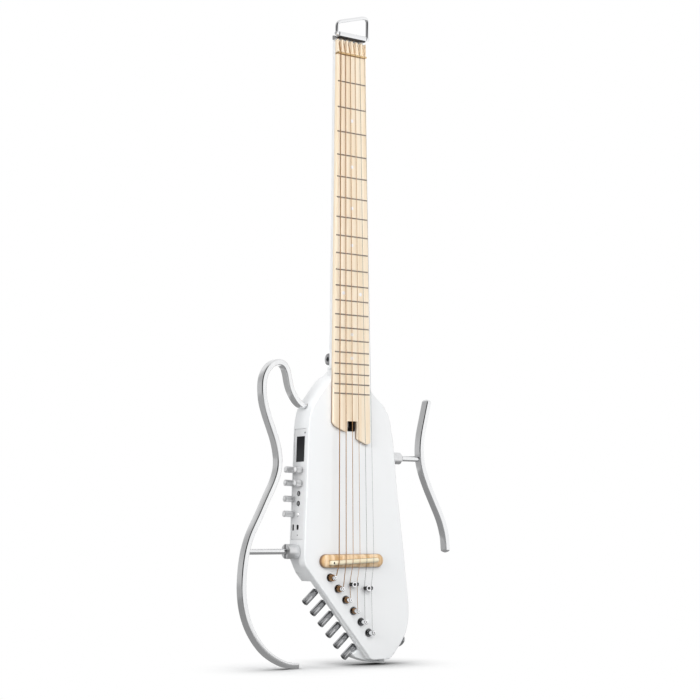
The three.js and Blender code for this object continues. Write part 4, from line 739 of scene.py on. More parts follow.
def wallX(z):
    return wallTop[0] + (wallEnd[0] - wallTop[0]) * (wallTop[1] - z) / (wallTop[1] - wallEnd[1])


def onWall(drop, y, out):
    return np.array([wallX(-drop), y, -drop]) + wallOut * out


# The treble side's x on the outline at a height.
def rightEdgeX(z):
    after = np.roll(outline, -1, 0)
    crossing = (outline[:, 1] - z) * (after[:, 1] - z) <= 0
    a, b = outline[crossing], after[crossing]
    share = (z - a[:, 1]) / np.where(a[:, 1] == b[:, 1], 1, b[:, 1] - a[:, 1])
    return float(np.max(a[:, 0] + share * (b[:, 0] - a[:, 0])))


# Places measured from the slanted edge's upper corner, along the edge and inwards from it.
def fromCorner(along, inset, y):
    return np.array([cornerPoint[0], y, cornerPoint[1]]) + diagonal * along + inward * inset


def postCentre(index, y):
    return fromCorner(tunerRow["first"] + index * tunerRow["pitch"], tunerRow["inset"], y)


def cavityOutline(grow, corner=0.0):
    top, bottom = grow - cavity["top"], -grow - cavity["bottom"]
    left = [(wallX(z) + cavity["sideWall"] - grow / 2, z) for z in (top, bottom)]
    right, cut = cavity["rightX"] + grow, cavity["corner"]
    points = [*left, (right - cut, bottom), (right, bottom + cut), (right, top - cut), (right - cut, top)]
    return softened(points, corner) if corner else points


def wallBlock(top, bottom, frontY, backY, inner):
    centre = onWall((top + bottom) / 2, (frontY + backY) / 2, (inner + far) / 2)
    half = np.array([far - inner, backY - frontY, bottom - top]) / 2
    return moved(block(-half, half), [wallOut, back, wallUp], centre)


def recessShape():
    top = -body["recessTop"]
    corners = [fromCorner(along, inset, 0)[[0, 2]] for along, inset in (
        (body["recessStart"], 0), (body["recessStart"], body["recessInset"]),
        (body["recessEnd"], body["recessInset"]), (body["recessEnd"], -body["recessInset"]))]
    rise = top + body["chamferRise"]
    points = [(-body["width"], rise), (wallX(rise), rise), (wallX(top) + body["chamferRun"], top),
              *corners, (-body["width"], -body["tip"] - body["length"])]
    return prism(softened(points, body["recessCorner"], 6), slabBackY, bodyBackY + far)


def heelShape():
    front = tongueBackY + gap
    side = [(front, -heel["root"]), (heel["back"], -heel["root"]), (heel["back"], -heel["corner"]),
            (front + heel["topDepth"], -heel["top"]), (front, -heel["top"])]
    profile = edgeProfile(-heel["halfWidth"], heel["halfWidth"], heel["edge"])
    return moved(plate(softened(side, heel["round"]), profile), crosswise)


# Side frames. A frame's line is given as shares of its reach from an x and of its height from its top.
frames = {"section": (13, 7.6), "corner": 2.1, "smoothing": 10, "firstAngle": 0.12, "spacing": 2.2}
leftFrame = {"x": -55, "reach": -97, "top": 402, "height": 388, "endRound": 0.8, "lineShares": [
    (0.055, 0.1513), (0.115, 0.148), (0.193, 0.129), (0.262, 0.100), (0.300, 0.069), (0.318, 0.043),
    (0.363, 0.020), (0.433, 0.011), (0.53, 0.016), (0.627, 0.036), (0.686, 0.065), (0.701, 0.098),
    (0.686, 0.137), (0.637, 0.180), (0.567, 0.223), (0.500, 0.265), (0.458, 0.308), (0.453, 0.355),
    (0.505, 0.397), (0.611, 0.448), (0.747, 0.514), (0.876, 0.574), (0.955, 0.638), (0.990, 0.718),
    (0.979, 0.778), (0.921, 0.837), (0.813, 0.890), (0.640, 0.940), (0.435, 0.972), (0.288, 0.985),
    (0.139, 0.987)]}
rightFrame = {"x": 127.3, "reach": 44.5, "top": 443, "height": 204, "endRound": 3.8, "lineShares": [
    (0.321, 0), (0.160, 0.138), (0.036, 0.252), (0, 0.357), (0.083, 0.461), (0.299, 0.573), (0.564, 0.684),
    (0.822, 0.796), (0.955, 0.901), (0.993, 1)]}
# The frames' rods, each with its length in the body.
peg = {"radius": 3, "length": 15}
strut = {"radius": 3.65, "bite": 8, "shares": (0.933, 0.6232)}
stem = {"radius": 3.8, "bite": 8, "shares": (0.027, 0.3936)}
running = 0.35                          # clearance of rods and shafts in their holes


def onFrame(side, shares):
    share, drop = np.asarray(shares, float).T
    x, z = side["x"] + share * side["reach"], -side["top"] - drop * side["height"]
    return np.stack([x, midY + 0 * share, z], -1)


def atX(place, x):
    return np.array([x, *place[1:]])


pegPoint = onFrame(leftFrame, leftFrame["lineShares"][0])
strutPoint, stemPoint = onFrame(leftFrame, strut["shares"]), onFrame(rightFrame, stem["shares"])
leftWallX, rightWallX = wallX(strutPoint[2]), rightEdgeX(stemPoint[2])
rodEnds = {"peg": (atX(pegPoint, pegPoint[0] - frames["section"][1] / 2),
                   atX(pegPoint, leftFrame["x"] + peg["length"]), peg["radius"]),
           "strut": (strutPoint, atX(strutPoint, leftWallX + strut["bite"]), strut["radius"]),
           "stem": (stemPoint, atX(stemPoint, rightWallX - stem["bite"]), stem["radius"])}
strapPoint = np.array([rightEdgeX(-strap["bodyDrop"]), soundboardY + strap["bodyY"], -strap["bodyDrop"]])
strapAbove, strapBelow = rightEdgeX(3 - strap["bodyDrop"]), rightEdgeX(-3 - strap["bodyDrop"])
strapOut = unit([6, 0, strapBelow - strapAbove])


# The hole for a frame's rod, from outside the body to a gap behind the rod's end.
def rodHole(name):
    start, end, radius = rodEnds[name]
    inwards = unit(end - start)
    return rod(start - inwards * far, end + inwards * gap, radius + running)


def addBody():
    top, tip = past - body["tip"], -body["tip"]
    frontward, behind, pocketBack = soundboardY - far, bodyBackY + far, tongueBackY + gap
    fall = heel["slope"] + far * heel["slope"] / (bodyBackY - tongueBackY)
    slope = [(tongueBackY - past, top), (behind, top), (behind, tip - fall), (tongueBackY, tip)]
    low, high = -body["trussPocketEnd"], 1 - neck["tongueEnd"]
    left, right = board["notch"]
    pocket = softened([(left, low), (right, low), (right, high), (left, high)], body["trussPocketCorners"])
    ledge, coverFront = panel["ledge"], bodyBackY - cavity["cover"]
    tongue, shaft = (neck["tongueWidth"] / 2 + gap, neck["tongueEnd"]), (100, neck["shaftEnd"])
    tools = less(white, moved(prism(slope, -far, far), crosswise)) + plus(white, heelShape())
    tools += less(white, *(block((-half, frontward, -end - gap), (half, pocketBack, top))
                           for half, end in (tongue, shaft)))
    # the truss rod's pocket gets black walls, painted shade in the pocket
    tools += less(black, prism(pocket, frontward, soundboardY + body["trussPocketDepth"]))
    tools += less(white, recessShape())
    # the cavity, the panel's seat and the rod holes get black walls, painted shade in them
    tools += less(
        black, prism(cavityOutline(0), soundboardY + cavity["frontWall"], behind),
        prism(cavityOutline(cavity["ledge"], cavity["coverCorner"]), coverFront - gap, behind),
        wallBlock(panel["top"] - gap, panel["bottom"] + gap, panelFrontY - gap, panelBackY + gap,
                  -panel["thickness"] - gap),
        wallBlock(panel["top"] + ledge, panel["bottom"] - ledge, panelFrontY + panel["sideLedge"],
                  panelBackY - panel["sideLedge"], -cavity["sideWall"] - past),
        *(rodHole(name) for name in rodEnds))
    seat = rod(strapPoint - strapOut * strap["seat"], strapPoint + strapOut * far, strap["seatRadius"])
    tools += less(white, seat, *(rod(postCentre(index, frontward), postCentre(index, behind),
                                     tunerRow["sleeveHole"]) for index in range(6)))
    footEdge = edgeProfile(slabBackY + foot["front"], bodyBackY - foot["back"], foot["edge"], 5)
    tools += plus(white, plate(softened(np.array(foot["points"]) * (1, -1), foot["corner"]), footEdge))
    shell = edgeProfile(soundboardY, bodyBackY, body["edge"], 8, rearRadius=body["backEdge"])
    addPiece("body", plate(outline, shell), white, tools=tools)
    cover = plate(cavityOutline(cavity["ledge"] - gap, cavity["coverCorner"]),
                  edgeProfile(coverFront, bodyBackY, cavity["coverEdge"], 3))
    addPiece("back_cover", cover, whiteCover)


addBody()
print("body made")

# Head: brass nut, maple block with six scooped channels, polished clamp, a black strip of painted shadow under
# the clamp, and hanging loop.
strings = {"nutSpread": 38.2, "saddleSpread": 54.7, "centreX": 0.1, "nutHeight": 1.2, "anchorY": 4.6,
           "diameters": [1.35, 1.07, 0.81, 0.61, 0.43, 0.33], "wound": 4, "turns": 3, "turnGap": 0.55,
           "wrapPitch": 0.42, "ball": (1.7, 2.6), "sides": 14, "turnSteps": 40, "bend": 1.2}
nut = {"height": 2.2, "front": 1.7, "edge": 0.35, "slotGap": 0.12}
headBlock = {"front": 0.2, "top": 19.4, "width": 5.4, "depth": 5.4, "scoop": 2.3, "foot": 3.65,
             "slot": (2.2, 2.4), "edge": 0.4}
clamp = {"half": 21.6, "bottom": 23, "top": 29.4, "front": -2.5, "back": 2.5, "plate": 2.6, "plateBack": 21.4,
         "corners": [2.4, 2.4, 2.4, 0.8, 0.8, 0.8], "edge": 0.7, "pivot": 26.2, "bore": 2, "boreDepth": 7,
         "stringRoom": 0.5}
ear = {"outline": [(3.4, 19.6), (10.4, 19.6), (10.4, 25.9), (3.4, 24.0)], "across": (-24.6, -22.8),
       "corner": 1.4, "edge": 0.4}
# A black strip between the block and the clamp: painted shadow in the gap under the clamp.
clampShadow = {"low": (-20.9, -1.5, 21.7), "high": (20.9, 3.5, 22.8), "edge": 0.2}
bail = {"radius": 2.4, "leg": 24.5, "pin": 1.65, "pinIn": 6, "pinStart": 0.5, "boss": (2.42, 0.4),
        "sides": 28, "bend": 9.5, "path": [
    (-24.5, 26.2), (-24.5, 41.3), (24.8, 56.2), (24.5, 26.2)]}
stringShares = np.arange(6) / 5 - 0.5
nutX, saddleX = (strings["centreX"] + stringShares * strings[name] for name in ("nutSpread", "saddleSpread"))
stringRadius = np.array(strings["diameters"]) / 2


def addNut():
    half, y, top, slots = board["nutWidth"] / 2, -strings["nutHeight"], nut["height"] + past, []
    for x, radius in zip(nutX, stringRadius + nut["slotGap"]):
        slots += [rod((x, y, -past), (x, y, top), radius),
                  block((x - radius, -nut["front"] - past, -past), (x + radius, y, top))]
    bar = block((-half, -nut["front"], 0), (half, boardBackY, nut["height"]), nut["edge"])
    addPiece("nut", bar, brass, tools=less(brass, *slots))


# A channel is a U in x and z, whose floor meets its walls in a quarter round.
def channelShape(x):
    radius, top = headBlock["width"] / 2, headBlock["top"] + past
    angle = np.linspace(math.pi, fullTurn, 17)
    foot = nut["height"] + gap + headBlock["foot"]
    arc = np.stack([x + radius * np.cos(angle), foot + radius * np.sin(angle)], 1)
    floor, scoop = headBlock["front"] + headBlock["depth"], headBlock["scoop"]
    turn = np.linspace(0, math.pi / 2, 7)
    profile = np.vstack([[(0, headBlock["front"] - past)],
                         np.stack([scoop * (1 - np.cos(turn)), floor - scoop + scoop * np.sin(turn)], 1)])
    return plate(np.vstack([[(x + radius, top), (x - radius, top)], arc]), profile)


def addHeadBlock():
    half, bottom, front = board["nutWidth"] / 2, nut["height"] + gap, headBlock["front"]
    width, depth = headBlock["slot"]
    tools = []
    for x in nutX:
        slot = block((x - width / 2, front - past, bottom - past),
                     (x + width / 2, front + depth, bottom + headBlock["foot"]))
        tools += less(paleMaple, channelShape(x), slot)
    blank = block((-half, front, bottom), (half, boardBackY, headBlock["top"]), headBlock["edge"])
    addPiece("head_block", blank, paleMaple, tools=tools)


# A rod across the head at the bail's pivot, between two distances from the middle.
def pivotRod(side, start, end, radius, edge=0.0):
    return rod((side * start, 0, clamp["pivot"]), (side * end, 0, clamp["pivot"]), radius, edge=edge)


# The clamp's shelf ends at the back in the curve of the neck.
def addClamp():
    front, rear, low, top = clamp["front"], clamp["back"], clamp["bottom"], clamp["top"]
    shelf, half, anchor = low + clamp["plate"], clamp["half"], strings["anchorY"]
    section = [(front, low), (front, top), (rear, top), (rear, shelf), (clamp["plateBack"], shelf),
               (clamp["plateBack"], low)]
    bar = plate(softened(section, clamp["corners"], 6), edgeProfile(-half, half, clamp["edge"]))
    tools = less(chrome, *(pivotRod(side, half - clamp["boreDepth"], half + past, clamp["bore"])
                           for side in (-1, 1)))
    # the anchor holes get black walls, painted shade in them
    tools += less(black, *(rod((x, anchor, low - past), (x, anchor, shelf + past), radius)
                           for x, radius in zip(nutX, stringRadius + clamp["stringRoom"])))
    bow = neckCurve(half, clamp["plateBack"] - soundboardY, 40) + (0, soundboardY)
    around = [(-far, soundboardY), (-far, far), (far, far), (far, soundboardY)]
    besideNeck = prism(np.vstack([bow, around]), low - past, shelf + past)
    tools += less(chrome, moved(besideNeck, [treble, up, back]))
    addPiece("head_clamp", moved(bar, crosswise), chrome, tools=tools)
    tab = plate(softened(ear["outline"], ear["corner"]), edgeProfile(*ear["across"], ear["edge"], 3))
    addPiece("head_ear", moved(tab, crosswise), shadedGreyChrome)
    # the black strip: painted shadow under the clamp
    addPiece("clamp_shadow", block(clampShadow["low"], clampShadow["high"], clampShadow["edge"]), black)


def addBail():
    path = softened([(x, 0, z) for x, z in bail["path"]], bail["bend"], 16, closed=False)
    outer, inner = bail["leg"] + bail["radius"], bail["leg"] - bail["radius"]
    pinEnd = clamp["half"] - bail["pinIn"]
    tools = []
    for side in (-1, 1):
        tools += plus(chrome, pivotRod(side, outer, inner, *bail["boss"]),
                      pivotRod(side, outer - bail["pinStart"], pinEnd, bail["pin"]))
    addPiece("bail", swept(path, circle(bail["radius"], bail["sides"])), chrome, body="bail", tools=tools)


addNut()
addHeadBlock()
addClamp()
addBail()
print("head made")

# Bridge and saddle. The saddle lies at a slant, in a slot of the bridge.
bridge = {"length": 97.4, "height": 17.2, "thickness": 7.9, "drop": 656, "centreX": 1.5, "edge": 5.4,
          "footEdge": 0.6, "slotDepth": 6.1}
saddle = {"length": 74, "width": 5.6, "proud": 6.3, "inSlot": 4.4, "slant": 2.55, "hole": 1.2,
          "holeFromEnd": 3, "drop": 656.9, "centreX": 0.2, "endRound": 2.2}
bridgeFrontY = soundboardY - gap - bridge["thickness"]
saddleFrontY = bridgeFrontY - saddle["proud"]
saddleBackY = bridgeFrontY + saddle["inSlot"]
slant = math.radians(saddle["slant"])
saddleAlong = np.array([math.cos(slant), 0, math.sin(slant)])
saddleUp = np.array([-math.sin(slant), 0, math.cos(slant)])
saddleCentre = np.array([saddle["centreX"], 0, -saddle["drop"]])


def saddleZ(x):
    return -saddle["drop"] + (x - saddle["centreX"]) * math.tan(slant)


# A half circle towards positive x: (radius cos a, radius sin a).
def halfCircle(radius, steps):
    angle = np.linspace(-math.pi / 2, math.pi / 2, steps + 1)
    return radius * np.stack([np.cos(angle), np.sin(angle)], 1)


def addBridge():
    radius = bridge["height"] / 2
    right = halfCircle(radius, 28) + (bridge["length"] / 2 - radius, 0)
    loaf = edgeProfile(bridgeFrontY, soundboardY - gap, bridge["edge"], 10, rearRadius=bridge["footEdge"])
    bar = plate(np.vstack([right, -right]) + (bridge["centreX"], -bridge["drop"]), loaf)
    half, reach = saddle["width"] / 2, saddle["length"] / 2
    slot = block((-reach - gap, bridgeFrontY - far, -half - gap),
                 (reach + gap, bridgeFrontY + bridge["slotDepth"], half + gap))
    addPiece("bridge", bar, amberMaple,
             tools=less(amberMaple, moved(slot, [saddleAlong, back, saddleUp], saddleCentre)))
    crown = (halfCircle(half, 20) - (half, 0)) * (-1, 1) + (saddleFrontY, 0)
    section = np.vstack([[(saddleBackY, -half)], crown, [(saddleBackY, half)]])
    bar = plate(section, edgeProfile(-reach, reach, saddle["endRound"]))
    holeAt = saddleCentre + saddleAlong * (saddle["holeFromEnd"] - reach)
    hole = rod(holeAt + back * (saddleFrontY - past), holeAt + back * (saddleBackY + past), saddle["hole"])
    # the saddle's hole gets black walls, painted shade in it
    addPiece("saddle", moved(bar, [back, saddleAlong, saddleUp], saddleCentre), bone, tools=less(black, hole))


addBridge()
print("bridge made")

# Tuners along the slanted edge: each is drawn from its own post, with x along the edge, y to the back and z
# inwards.
tuner = {"post": 3, "waist": 2.6, "proud": 12.6, "tip": 2.4, "tipRound": 0.8, "dot": 0.75, "pit": 0.9,
         "washer": (5.3, 1.2), "sleeve": 4.6, "wormOffset": 8.2, "wheel": (4.9, 5), "worm": (2.95, 10),
         "housing": (-6, 12.1, 13.4, 8), "housingEdge": 0.8, "axisY": 21.2, "shaft": 1.9,
         "button": (4.6, 20.5, 18.4), "collar": (4.5, 1.9), "recess": (2.4, 1.6), "round": 0.9,
         "groove": (2.2, 0.8, 0.4), "grooveSlope": 0.2, "bore": 3.35, "shoulder": 0.5, "dotEdge": (0.1, 0.02),
         "recessEdge": 0.15, "washerEdge": 0.4, "boreEdge": 0.2, "overlap": 0.5, "room": 0.01,
         "postFloor": (0.45, 0.4), "buttonFloor": (0.3, 1.2)}
tree = {"shares": [0.7436, 0.7572], "bar": (13.6, 4.6), "thickness": 1.5, "corner": 1.6, "edge": 0.5,
        "front": -1.9, "stem": 2.2, "head": (3.9, 0.5), "dot": (1.9, 0.5), "pip": (0.8, 0.2),
        "sunk": (0.2, 0.1)}
washerFrontY = soundboardY - gap - tuner["washer"][1]
coilRadius = tuner["waist"] + gap + stringRadius
coilPitch = 2 * stringRadius + strings["turnGap"]
coilStartY = washerFrontY - gap - stringRadius - strings["turns"] * coilPitch
treeBackY = tree["front"] + tree["thickness"]


def treeZ(index):
    return -body["tip"] - tree["shares"][index] * body["length"]


# A string's x below the saddle, on the straight line to the side of its post.
def stringXAt(index, z):
    start, post = saddleX[index], postCentre(index, 0)
    startZ = saddleZ(start)
    return start + (post[0] + coilRadius[index] - start) * (startZ - z) / (startZ - post[2])


# A post: a rounded tip with a small pit, a waist for the string between two shoulders, and the worm wheel.
def postShape(origin):
    outer, waist, proud, tip = tuner["post"], tuner["waist"], tuner["proud"], tuner["tip"]
    dot, pit, slope = tuner["dot"], tuner["pit"], tuner["shoulder"]
    (wheel, thickness), (edge, edgeDepth) = tuner["wheel"], tuner["dotEdge"]
    waistEnd = proud - gap - tuner["washer"][1]
    front, rear = (proud + tuner["axisY"] + side * thickness / 2 for side in (-1, 1))
    profile = np.vstack([
        [(0, pit), (dot, pit), (dot, edgeDepth), (dot + edge, 0)], nearRound(outer, 0, tuner["tipRound"]),
        [(outer, tip), (waist, tip + slope), (waist, waistEnd - slope), (outer, waistEnd), (outer, front),
         (wheel, front), (wheel, rear), (0, rear)]])
    return turned(profile, origin - back * proud, back, 40)


# A button: the worm, its shaft, a collar, and a cylinder with a groove and a pit in its end. The second
# result is the place of the pit's floor.
def buttonShape(origin):
    (radius, length, toStart), (wormRadius, wormLength) = tuner["button"], tuner["worm"]
    (collarRadius, collarLength), (pit, pitDepth) = tuner["collar"], tuner["recess"]
    (fromEnd, wide, deep), shaft, rounding = tuner["groove"], tuner["shaft"], tuner["round"]
    start = wormLength / 2 + toStart
    end = start + length
    behind, floor, edge = start - collarLength, end - pitDepth, tuner["recessEdge"]
    groove, slope = end - fromEnd, wide * tuner["grooveSlope"]
    profile = np.vstack([
        [(0, 0), (wormRadius, 0), (wormRadius, wormLength), (shaft, wormLength), (shaft, behind),
         (collarRadius - bevel, behind), (collarRadius, behind + bevel), (collarRadius, start)],
        nearRound(radius, start, rounding),
        [(radius, groove - wide), (radius - deep, groove - wide + slope), (radius - deep, groove - slope),
         (radius, groove)],
        farRound(radius, end, rounding), [(pit + edge, end), (pit, end - edge), (pit, floor), (0, floor)]])
    base = origin + diagonal * tuner["wormOffset"] + back * tuner["axisY"] + inward * wormLength / 2
    return turned(profile, base, -inward), base - inward * floor


def addTuner(index):
    origin = postCentre(index, soundboardY)
    housing, post, button = (f"tuner_{part}_{index + 1}" for part in ("housing", "post", "button"))
    low, high, depth, half = tuner["housing"]
    boxFront, bore, sleeve = planes["slabDepth"] + gap, tuner["bore"], tuner["sleeve"]
    box = moved(block((low, boxFront, -half), (high, boxFront + depth, half), tuner["housingEdge"]),
                [diagonal, back, inward], origin)
    radius, thickness = tuner["washer"]
    front = -gap - thickness
    edge, end = tuner["washerEdge"], boxFront + tuner["overlap"]
    washer = turned([(bore, front + tuner["boreEdge"]), (bore + bevel, front), (radius - edge, front),
                     (radius, front + edge), (radius, -gap), (sleeve, -gap), (sleeve, end), (bore, end)],
                    origin, back, loop=True)
    addPiece(housing, merged(box, washer), shadeDarkChrome)
    addPiece(post, postShape(origin), chrome, body=post)
    fromTip, thickness = tuner["postFloor"]
    floor = origin - back * (tuner["proud"] - fromTip)
    # a black disc at the pit's floor: painted shade in the post's pit
    pit = rod(floor, floor + back * thickness, tuner["dot"] - tuner["room"], 20)
    addPiece(f"post_pit_{index + 1}", pit, black, body=post)
    shape, floor = buttonShape(origin)
    behind, thickness = tuner["buttonFloor"]
    start = floor + inward * behind
    addPiece(button, shape, shadedGreyChrome, body=button)
    # a black disc at the pit's floor: painted shade in the button's end pit
    pit = rod(start, start - inward * thickness, tuner["recess"][0] - tuner["room"], 32)
    addPiece(f"button_tip_{index + 1}", pit, black, body=button)


# A string's route, from its ball end over nut and saddle, under its tree where it has one, and then as a
# helix of falling angle round its post.
def stringPath(index):
    x, radius, nutY, anchorY = nutX[index], stringRadius[index], -strings["nutHeight"], strings["anchorY"]
    ballZ = clamp["bottom"] + clamp["plate"] + gap + strings["ball"][1] / 2
    points = [(x, anchorY, ballZ), (x, anchorY, headBlock["top"]), (x, nutY, nut["height"] + gap),
              (x, nutY, -gap), (saddleX[index], saddleFrontY - gap - radius, saddleZ(saddleX[index]))]
    if index > 1:
        middle, reach = treeZ(index // 2 - 1), tree["bar"][1] / 2 + gap
        for z in (middle + reach, middle - reach):
            points.append((stringXAt(index, z), treeBackY + gap + radius, z))
    turn = np.arange(strings["turns"] * strings["turnSteps"] + 1) / strings["turnSteps"]
    helix = postCentre(index, coilStartY[index]) + np.stack([
        coilRadius[index] * np.cos(fullTurn * turn), turn * coilPitch[index],
        -coilRadius[index] * np.sin(fullTurn * turn)], 1)
    return np.vstack([softened([*points, helix[0]], strings["bend"], closed=False), helix[1:]])


def addString(index):
    name, finish = f"string_{index + 1}", bronzeWound if index < strings["wound"] else steel
    path, (ballRadius, ballLength) = stringPath(index), strings["ball"]
    tube = swept(path, circle(stringRadius[index], strings["sides"]))
    ball = rod(path[0] - up * ballLength / 2, path[0] + up * ballLength / 2, ballRadius, 24, bevel)
    piece = makeObject(f"{name}_finished", merged(tube, ball), finish[0])
    wraps = np.zeros(len(piece.data.vertices))
    wraps[:len(tube[0])] = np.repeat(lengthsAlong(path) / strings["wrapPitch"], strings["sides"])
    piece.data.attributes.new("wraps", "FLOAT", "POINT").data.foreach_set("value", wraps)
    dress(piece, "instrument", [name], 60)


def addTree(index):
    z, front = treeZ(index), tree["front"]
    x = (stringXAt(2 * index + 2, z) + stringXAt(2 * index + 3, z)) / 2
    (radius, height), (dot, dotHeight) = tree["head"], tree["dot"]
    (pip, pipHeight), (headSunk, dotSunk) = tree["pip"], tree["sunk"]
    bar = plate(softened(rectangle(*tree["bar"], x, z), tree["corner"], 6),
                edgeProfile(front, treeBackY, tree["edge"], 4))
    stem = rod((x, front + tree["edge"], z), (x, soundboardY - gap, z), tree["stem"])
    addPiece(f"string_tree_{index + 1}", bar, darkChrome, tools=plus(darkChrome, stem))
    head = [(0, -height), (radius - bevel, -height), (radius, bevel - height), (radius, headSunk),
            (0, headSunk)]
    addPiece(f"tree_screw_{index + 1}", turned(head, (x, front, z), back, 32), chrome)
    # a black dot with a pip on the screw head: painted shade of the screw's socket
    top = dotHeight + pipHeight
    socket = [(0, 0), (dot, 0), (dot, dotHeight), (pip, top), (0, top)]
    addPiece(f"tree_socket_{index + 1}", turned(socket, (x, front - height + dotSunk, z), -back, 32), black)


for index in range(6):
    addTuner(index)
    addString(index)
for index in range(2):
    addTree(index)
print("tuners and strings made")

# Control panel on the bass side wall. Places are shares of the panel, along it from the top and across it
# from the front.
display = {"place": (0.1846, 0.448), "height": 32, "width": 17.5, "thickness": 1.2, "corner": 0.9,
           "edge": 0.2}
light = {"place": (0.0378, 0.092), "radius": 1.1, "room": 0.15, "depth": 2.6,
         "dome": [(0.7, 0.25), (0, 0.35)]}
knob = {"radius": 3.9, "skirt": 4.3, "skirtLength": 2, "round": 0.8, "long": 14.5, "short": 10, "ribs": 30,
        "ribDepth": 0.28, "shaft": 1.6, "under": 1.2, "seat": 0.3, "cap": 3.0}
knobPlaces = [(0.3745, 0.88, "long"), (0.4947, 0.88, "long"), (0.6386, 0.88, "long"), (0.7745, 0.88, "long"),
              (0.376, 0.26, "short"), (0.4976, 0.26, "short")]
jack = {"places": [(0.5882, 0.46), (0.6781, 0.46)], "radius": 3, "hole": 1.75, "holeDepth": 9, "proud": 0.8,
        "barrel": 3.6, "barrelLength": 6.4, "contact": (0.75, 1.45), "contactEnds": (-1.6, 0.6)}
modeButton = {"place": (0.7767, 0.46), "radius": 2.2, "proud": 1.8, "flange": (3.1, 0.4), "edge": (0.5, 0.15)}
ports = {"usb": (0.8932, 0.46, 4.4, 6.6, 2.0), "card": (0.8947, 0.85, 3.2, 7.8, 0.8),
         "reset": (0.9637, 0.46, 0.8)}
innerSeat = -panel["thickness"] - gap   # what sits behind the panel starts here


def onPanel(along, across, out=0):
    drop = panel["top"] + along * (panel["bottom"] - panel["top"])
    return onWall(drop, panelFrontY + across * (panelBackY - panelFrontY), out)


# A plate on the panel, about a place: its width runs to the back and its height up the wall.
def panelPlate(along, across, width, height, corner, profile):
    shape = plate(softened(rectangle(width, height), corner, 6), profile)
    return moved(shape, [back, wallOut, wallUp], onPanel(along, across))


def addPanel():
    thick, depth = panel["thickness"], display["thickness"]
    size = np.array([display["width"], display["height"]])
    whole = panelPlate(0.5, 0.5, panelBackY - panelFrontY, panel["bottom"] - panel["top"], panel["corner"],
                       edgeProfile(-thick, 0, panel["edge"], 4))
    holes = [(along, across, knob["shaft"] + running) for along, across, reach in knobPlaces]
    holes += [(*place, jack["radius"] + gap) for place in jack["places"]]
    holes += [(*modeButton["place"], modeButton["radius"] + running),
              (*light["place"], light["radius"] + light["room"]), ports["reset"]]
    through = [(0, -thick - past), (0, past)]
    # the holes, ports and the display's seat get black walls, painted shade in them
    tools = less(black, *(rod(onPanel(*place, -thick - past), onPanel(*place, past), radius)
                          for *place, radius in holes))
    tools += less(black, panelPlate(*ports["usb"], through), panelPlate(*ports["card"], through),
                  panelPlate(*display["place"], *(size + gap), display["corner"],
                             [(0, -depth - gap), (0, past)]))
    addPiece("control_panel", whole, panelGrey, tools=tools)
    middle, half = onPanel(*display["place"])[2] * mm + headZ, size[1] * mm / 2
    window = windowFinish("dark window", "dark_window", {
        "dark": (0.01, 0.01, 0.012), "light": (0.03, 0.031, 0.033), "top": middle + half,
        "foot": middle - half})
    addPiece("display", panelPlate(*display["place"], *size, display["corner"],
                                   edgeProfile(-depth, 0, display["edge"], 3)), window)
    radius, depth = light["radius"], light["depth"]
    lens = [(0, 0), (radius, 0), (radius, depth), *((across, depth + rise) for across, rise in light["dome"])]
    addPiece("status_light", turned(lens, onPanel(*light["place"], -depth), wallOut, 32), window)


# A knob: its stem, a skirt, a ribbed barrel whose radius falls by half a cosine between ribs, and a rounded
# shoulder, over which the ribs run out.
def addKnob(index):
    along, across, reach = knobPlaces[index]
    name, length, radius, cap = f"knob_{index + 1}", knob[reach], knob["radius"], knob["cap"]
    shaft, skirt, skirtEnd = knob["shaft"], knob["skirt"], knob["skirtLength"]
    under = -panel["thickness"] - knob["under"]
    profile = np.vstack([
        [(0, under), (shaft, under), (shaft, 0), (skirt - bevel, 0), (skirt, bevel), (skirt, skirtEnd - 0.5),
         (radius + 0.1, skirtEnd), (radius, skirtEnd + 0.6)],
        farRound(radius, length, knob["round"], 4), [(cap, length), (0, length)]])
    order = np.arange(len(profile))
    ribbed = (order > 5) & (order < len(profile) - 3)
    base = onPanel(along, across, knob["seat"])
    shape = turned(profile, base, wallOut, knob["ribs"] * 6, ripples=(knob["ribs"], knob["ribDepth"], ribbed))
    addPiece(name, shape, knobSilver, body=name)
    lid = turned([(0, 0), (cap, 0), (cap, 0.1), (cap - 0.3, 0.25), (0, 0.3)], base + wallOut * (length - 0.1),
                 wallOut, 40)
    addPiece(f"knob_cap_{index + 1}", lid, capWhite, body=name)


def addJack(index):
    place, radius, hole = onPanel(*jack["places"][index]), jack["radius"], jack["hole"]
    proud, barrel, inner = jack["proud"], jack["barrel"], innerSeat - jack["barrelLength"]
    floor = proud - jack["holeDepth"]
    profile = [(0, inner), (barrel, inner), (barrel, innerSeat), (radius, innerSeat), (radius, proud - bevel),
               (radius - bevel, proud), (hole + 0.2, proud), (hole, proud - 0.2), (hole, floor), (0, floor)]
    addPiece(f"jack_{index + 1}", turned(profile, place, wallOut), black)
    (bore, outer), (low, high) = jack["contact"], jack["contactEnds"]
    contact = turned([(bore, low), (outer, low), (outer, high), (bore, high)], place, wallOut, 32, loop=True)
    addPiece(f"jack_contact_{index + 1}", contact, chrome)


def addModeButton():
    radius, proud, (flange, thickness) = modeButton["radius"], modeButton["proud"], modeButton["flange"]
    inner, (edge, middle) = innerSeat - thickness, modeButton["edge"]
    profile = [(0, inner), (flange, inner), (flange, innerSeat), (radius, innerSeat), (radius, proud - edge),
               (radius - middle, proud - middle), (radius - edge, proud), (0, proud)]
    shape = turned(profile, onPanel(*modeButton["place"]), wallOut, 40)
    addPiece("mode_button", shape, capWhite, body="mode_button")


addPanel()
for index in range(6):
    addKnob(index)
for index in range(2):
    addJack(index)
addModeButton()
print("controls made")

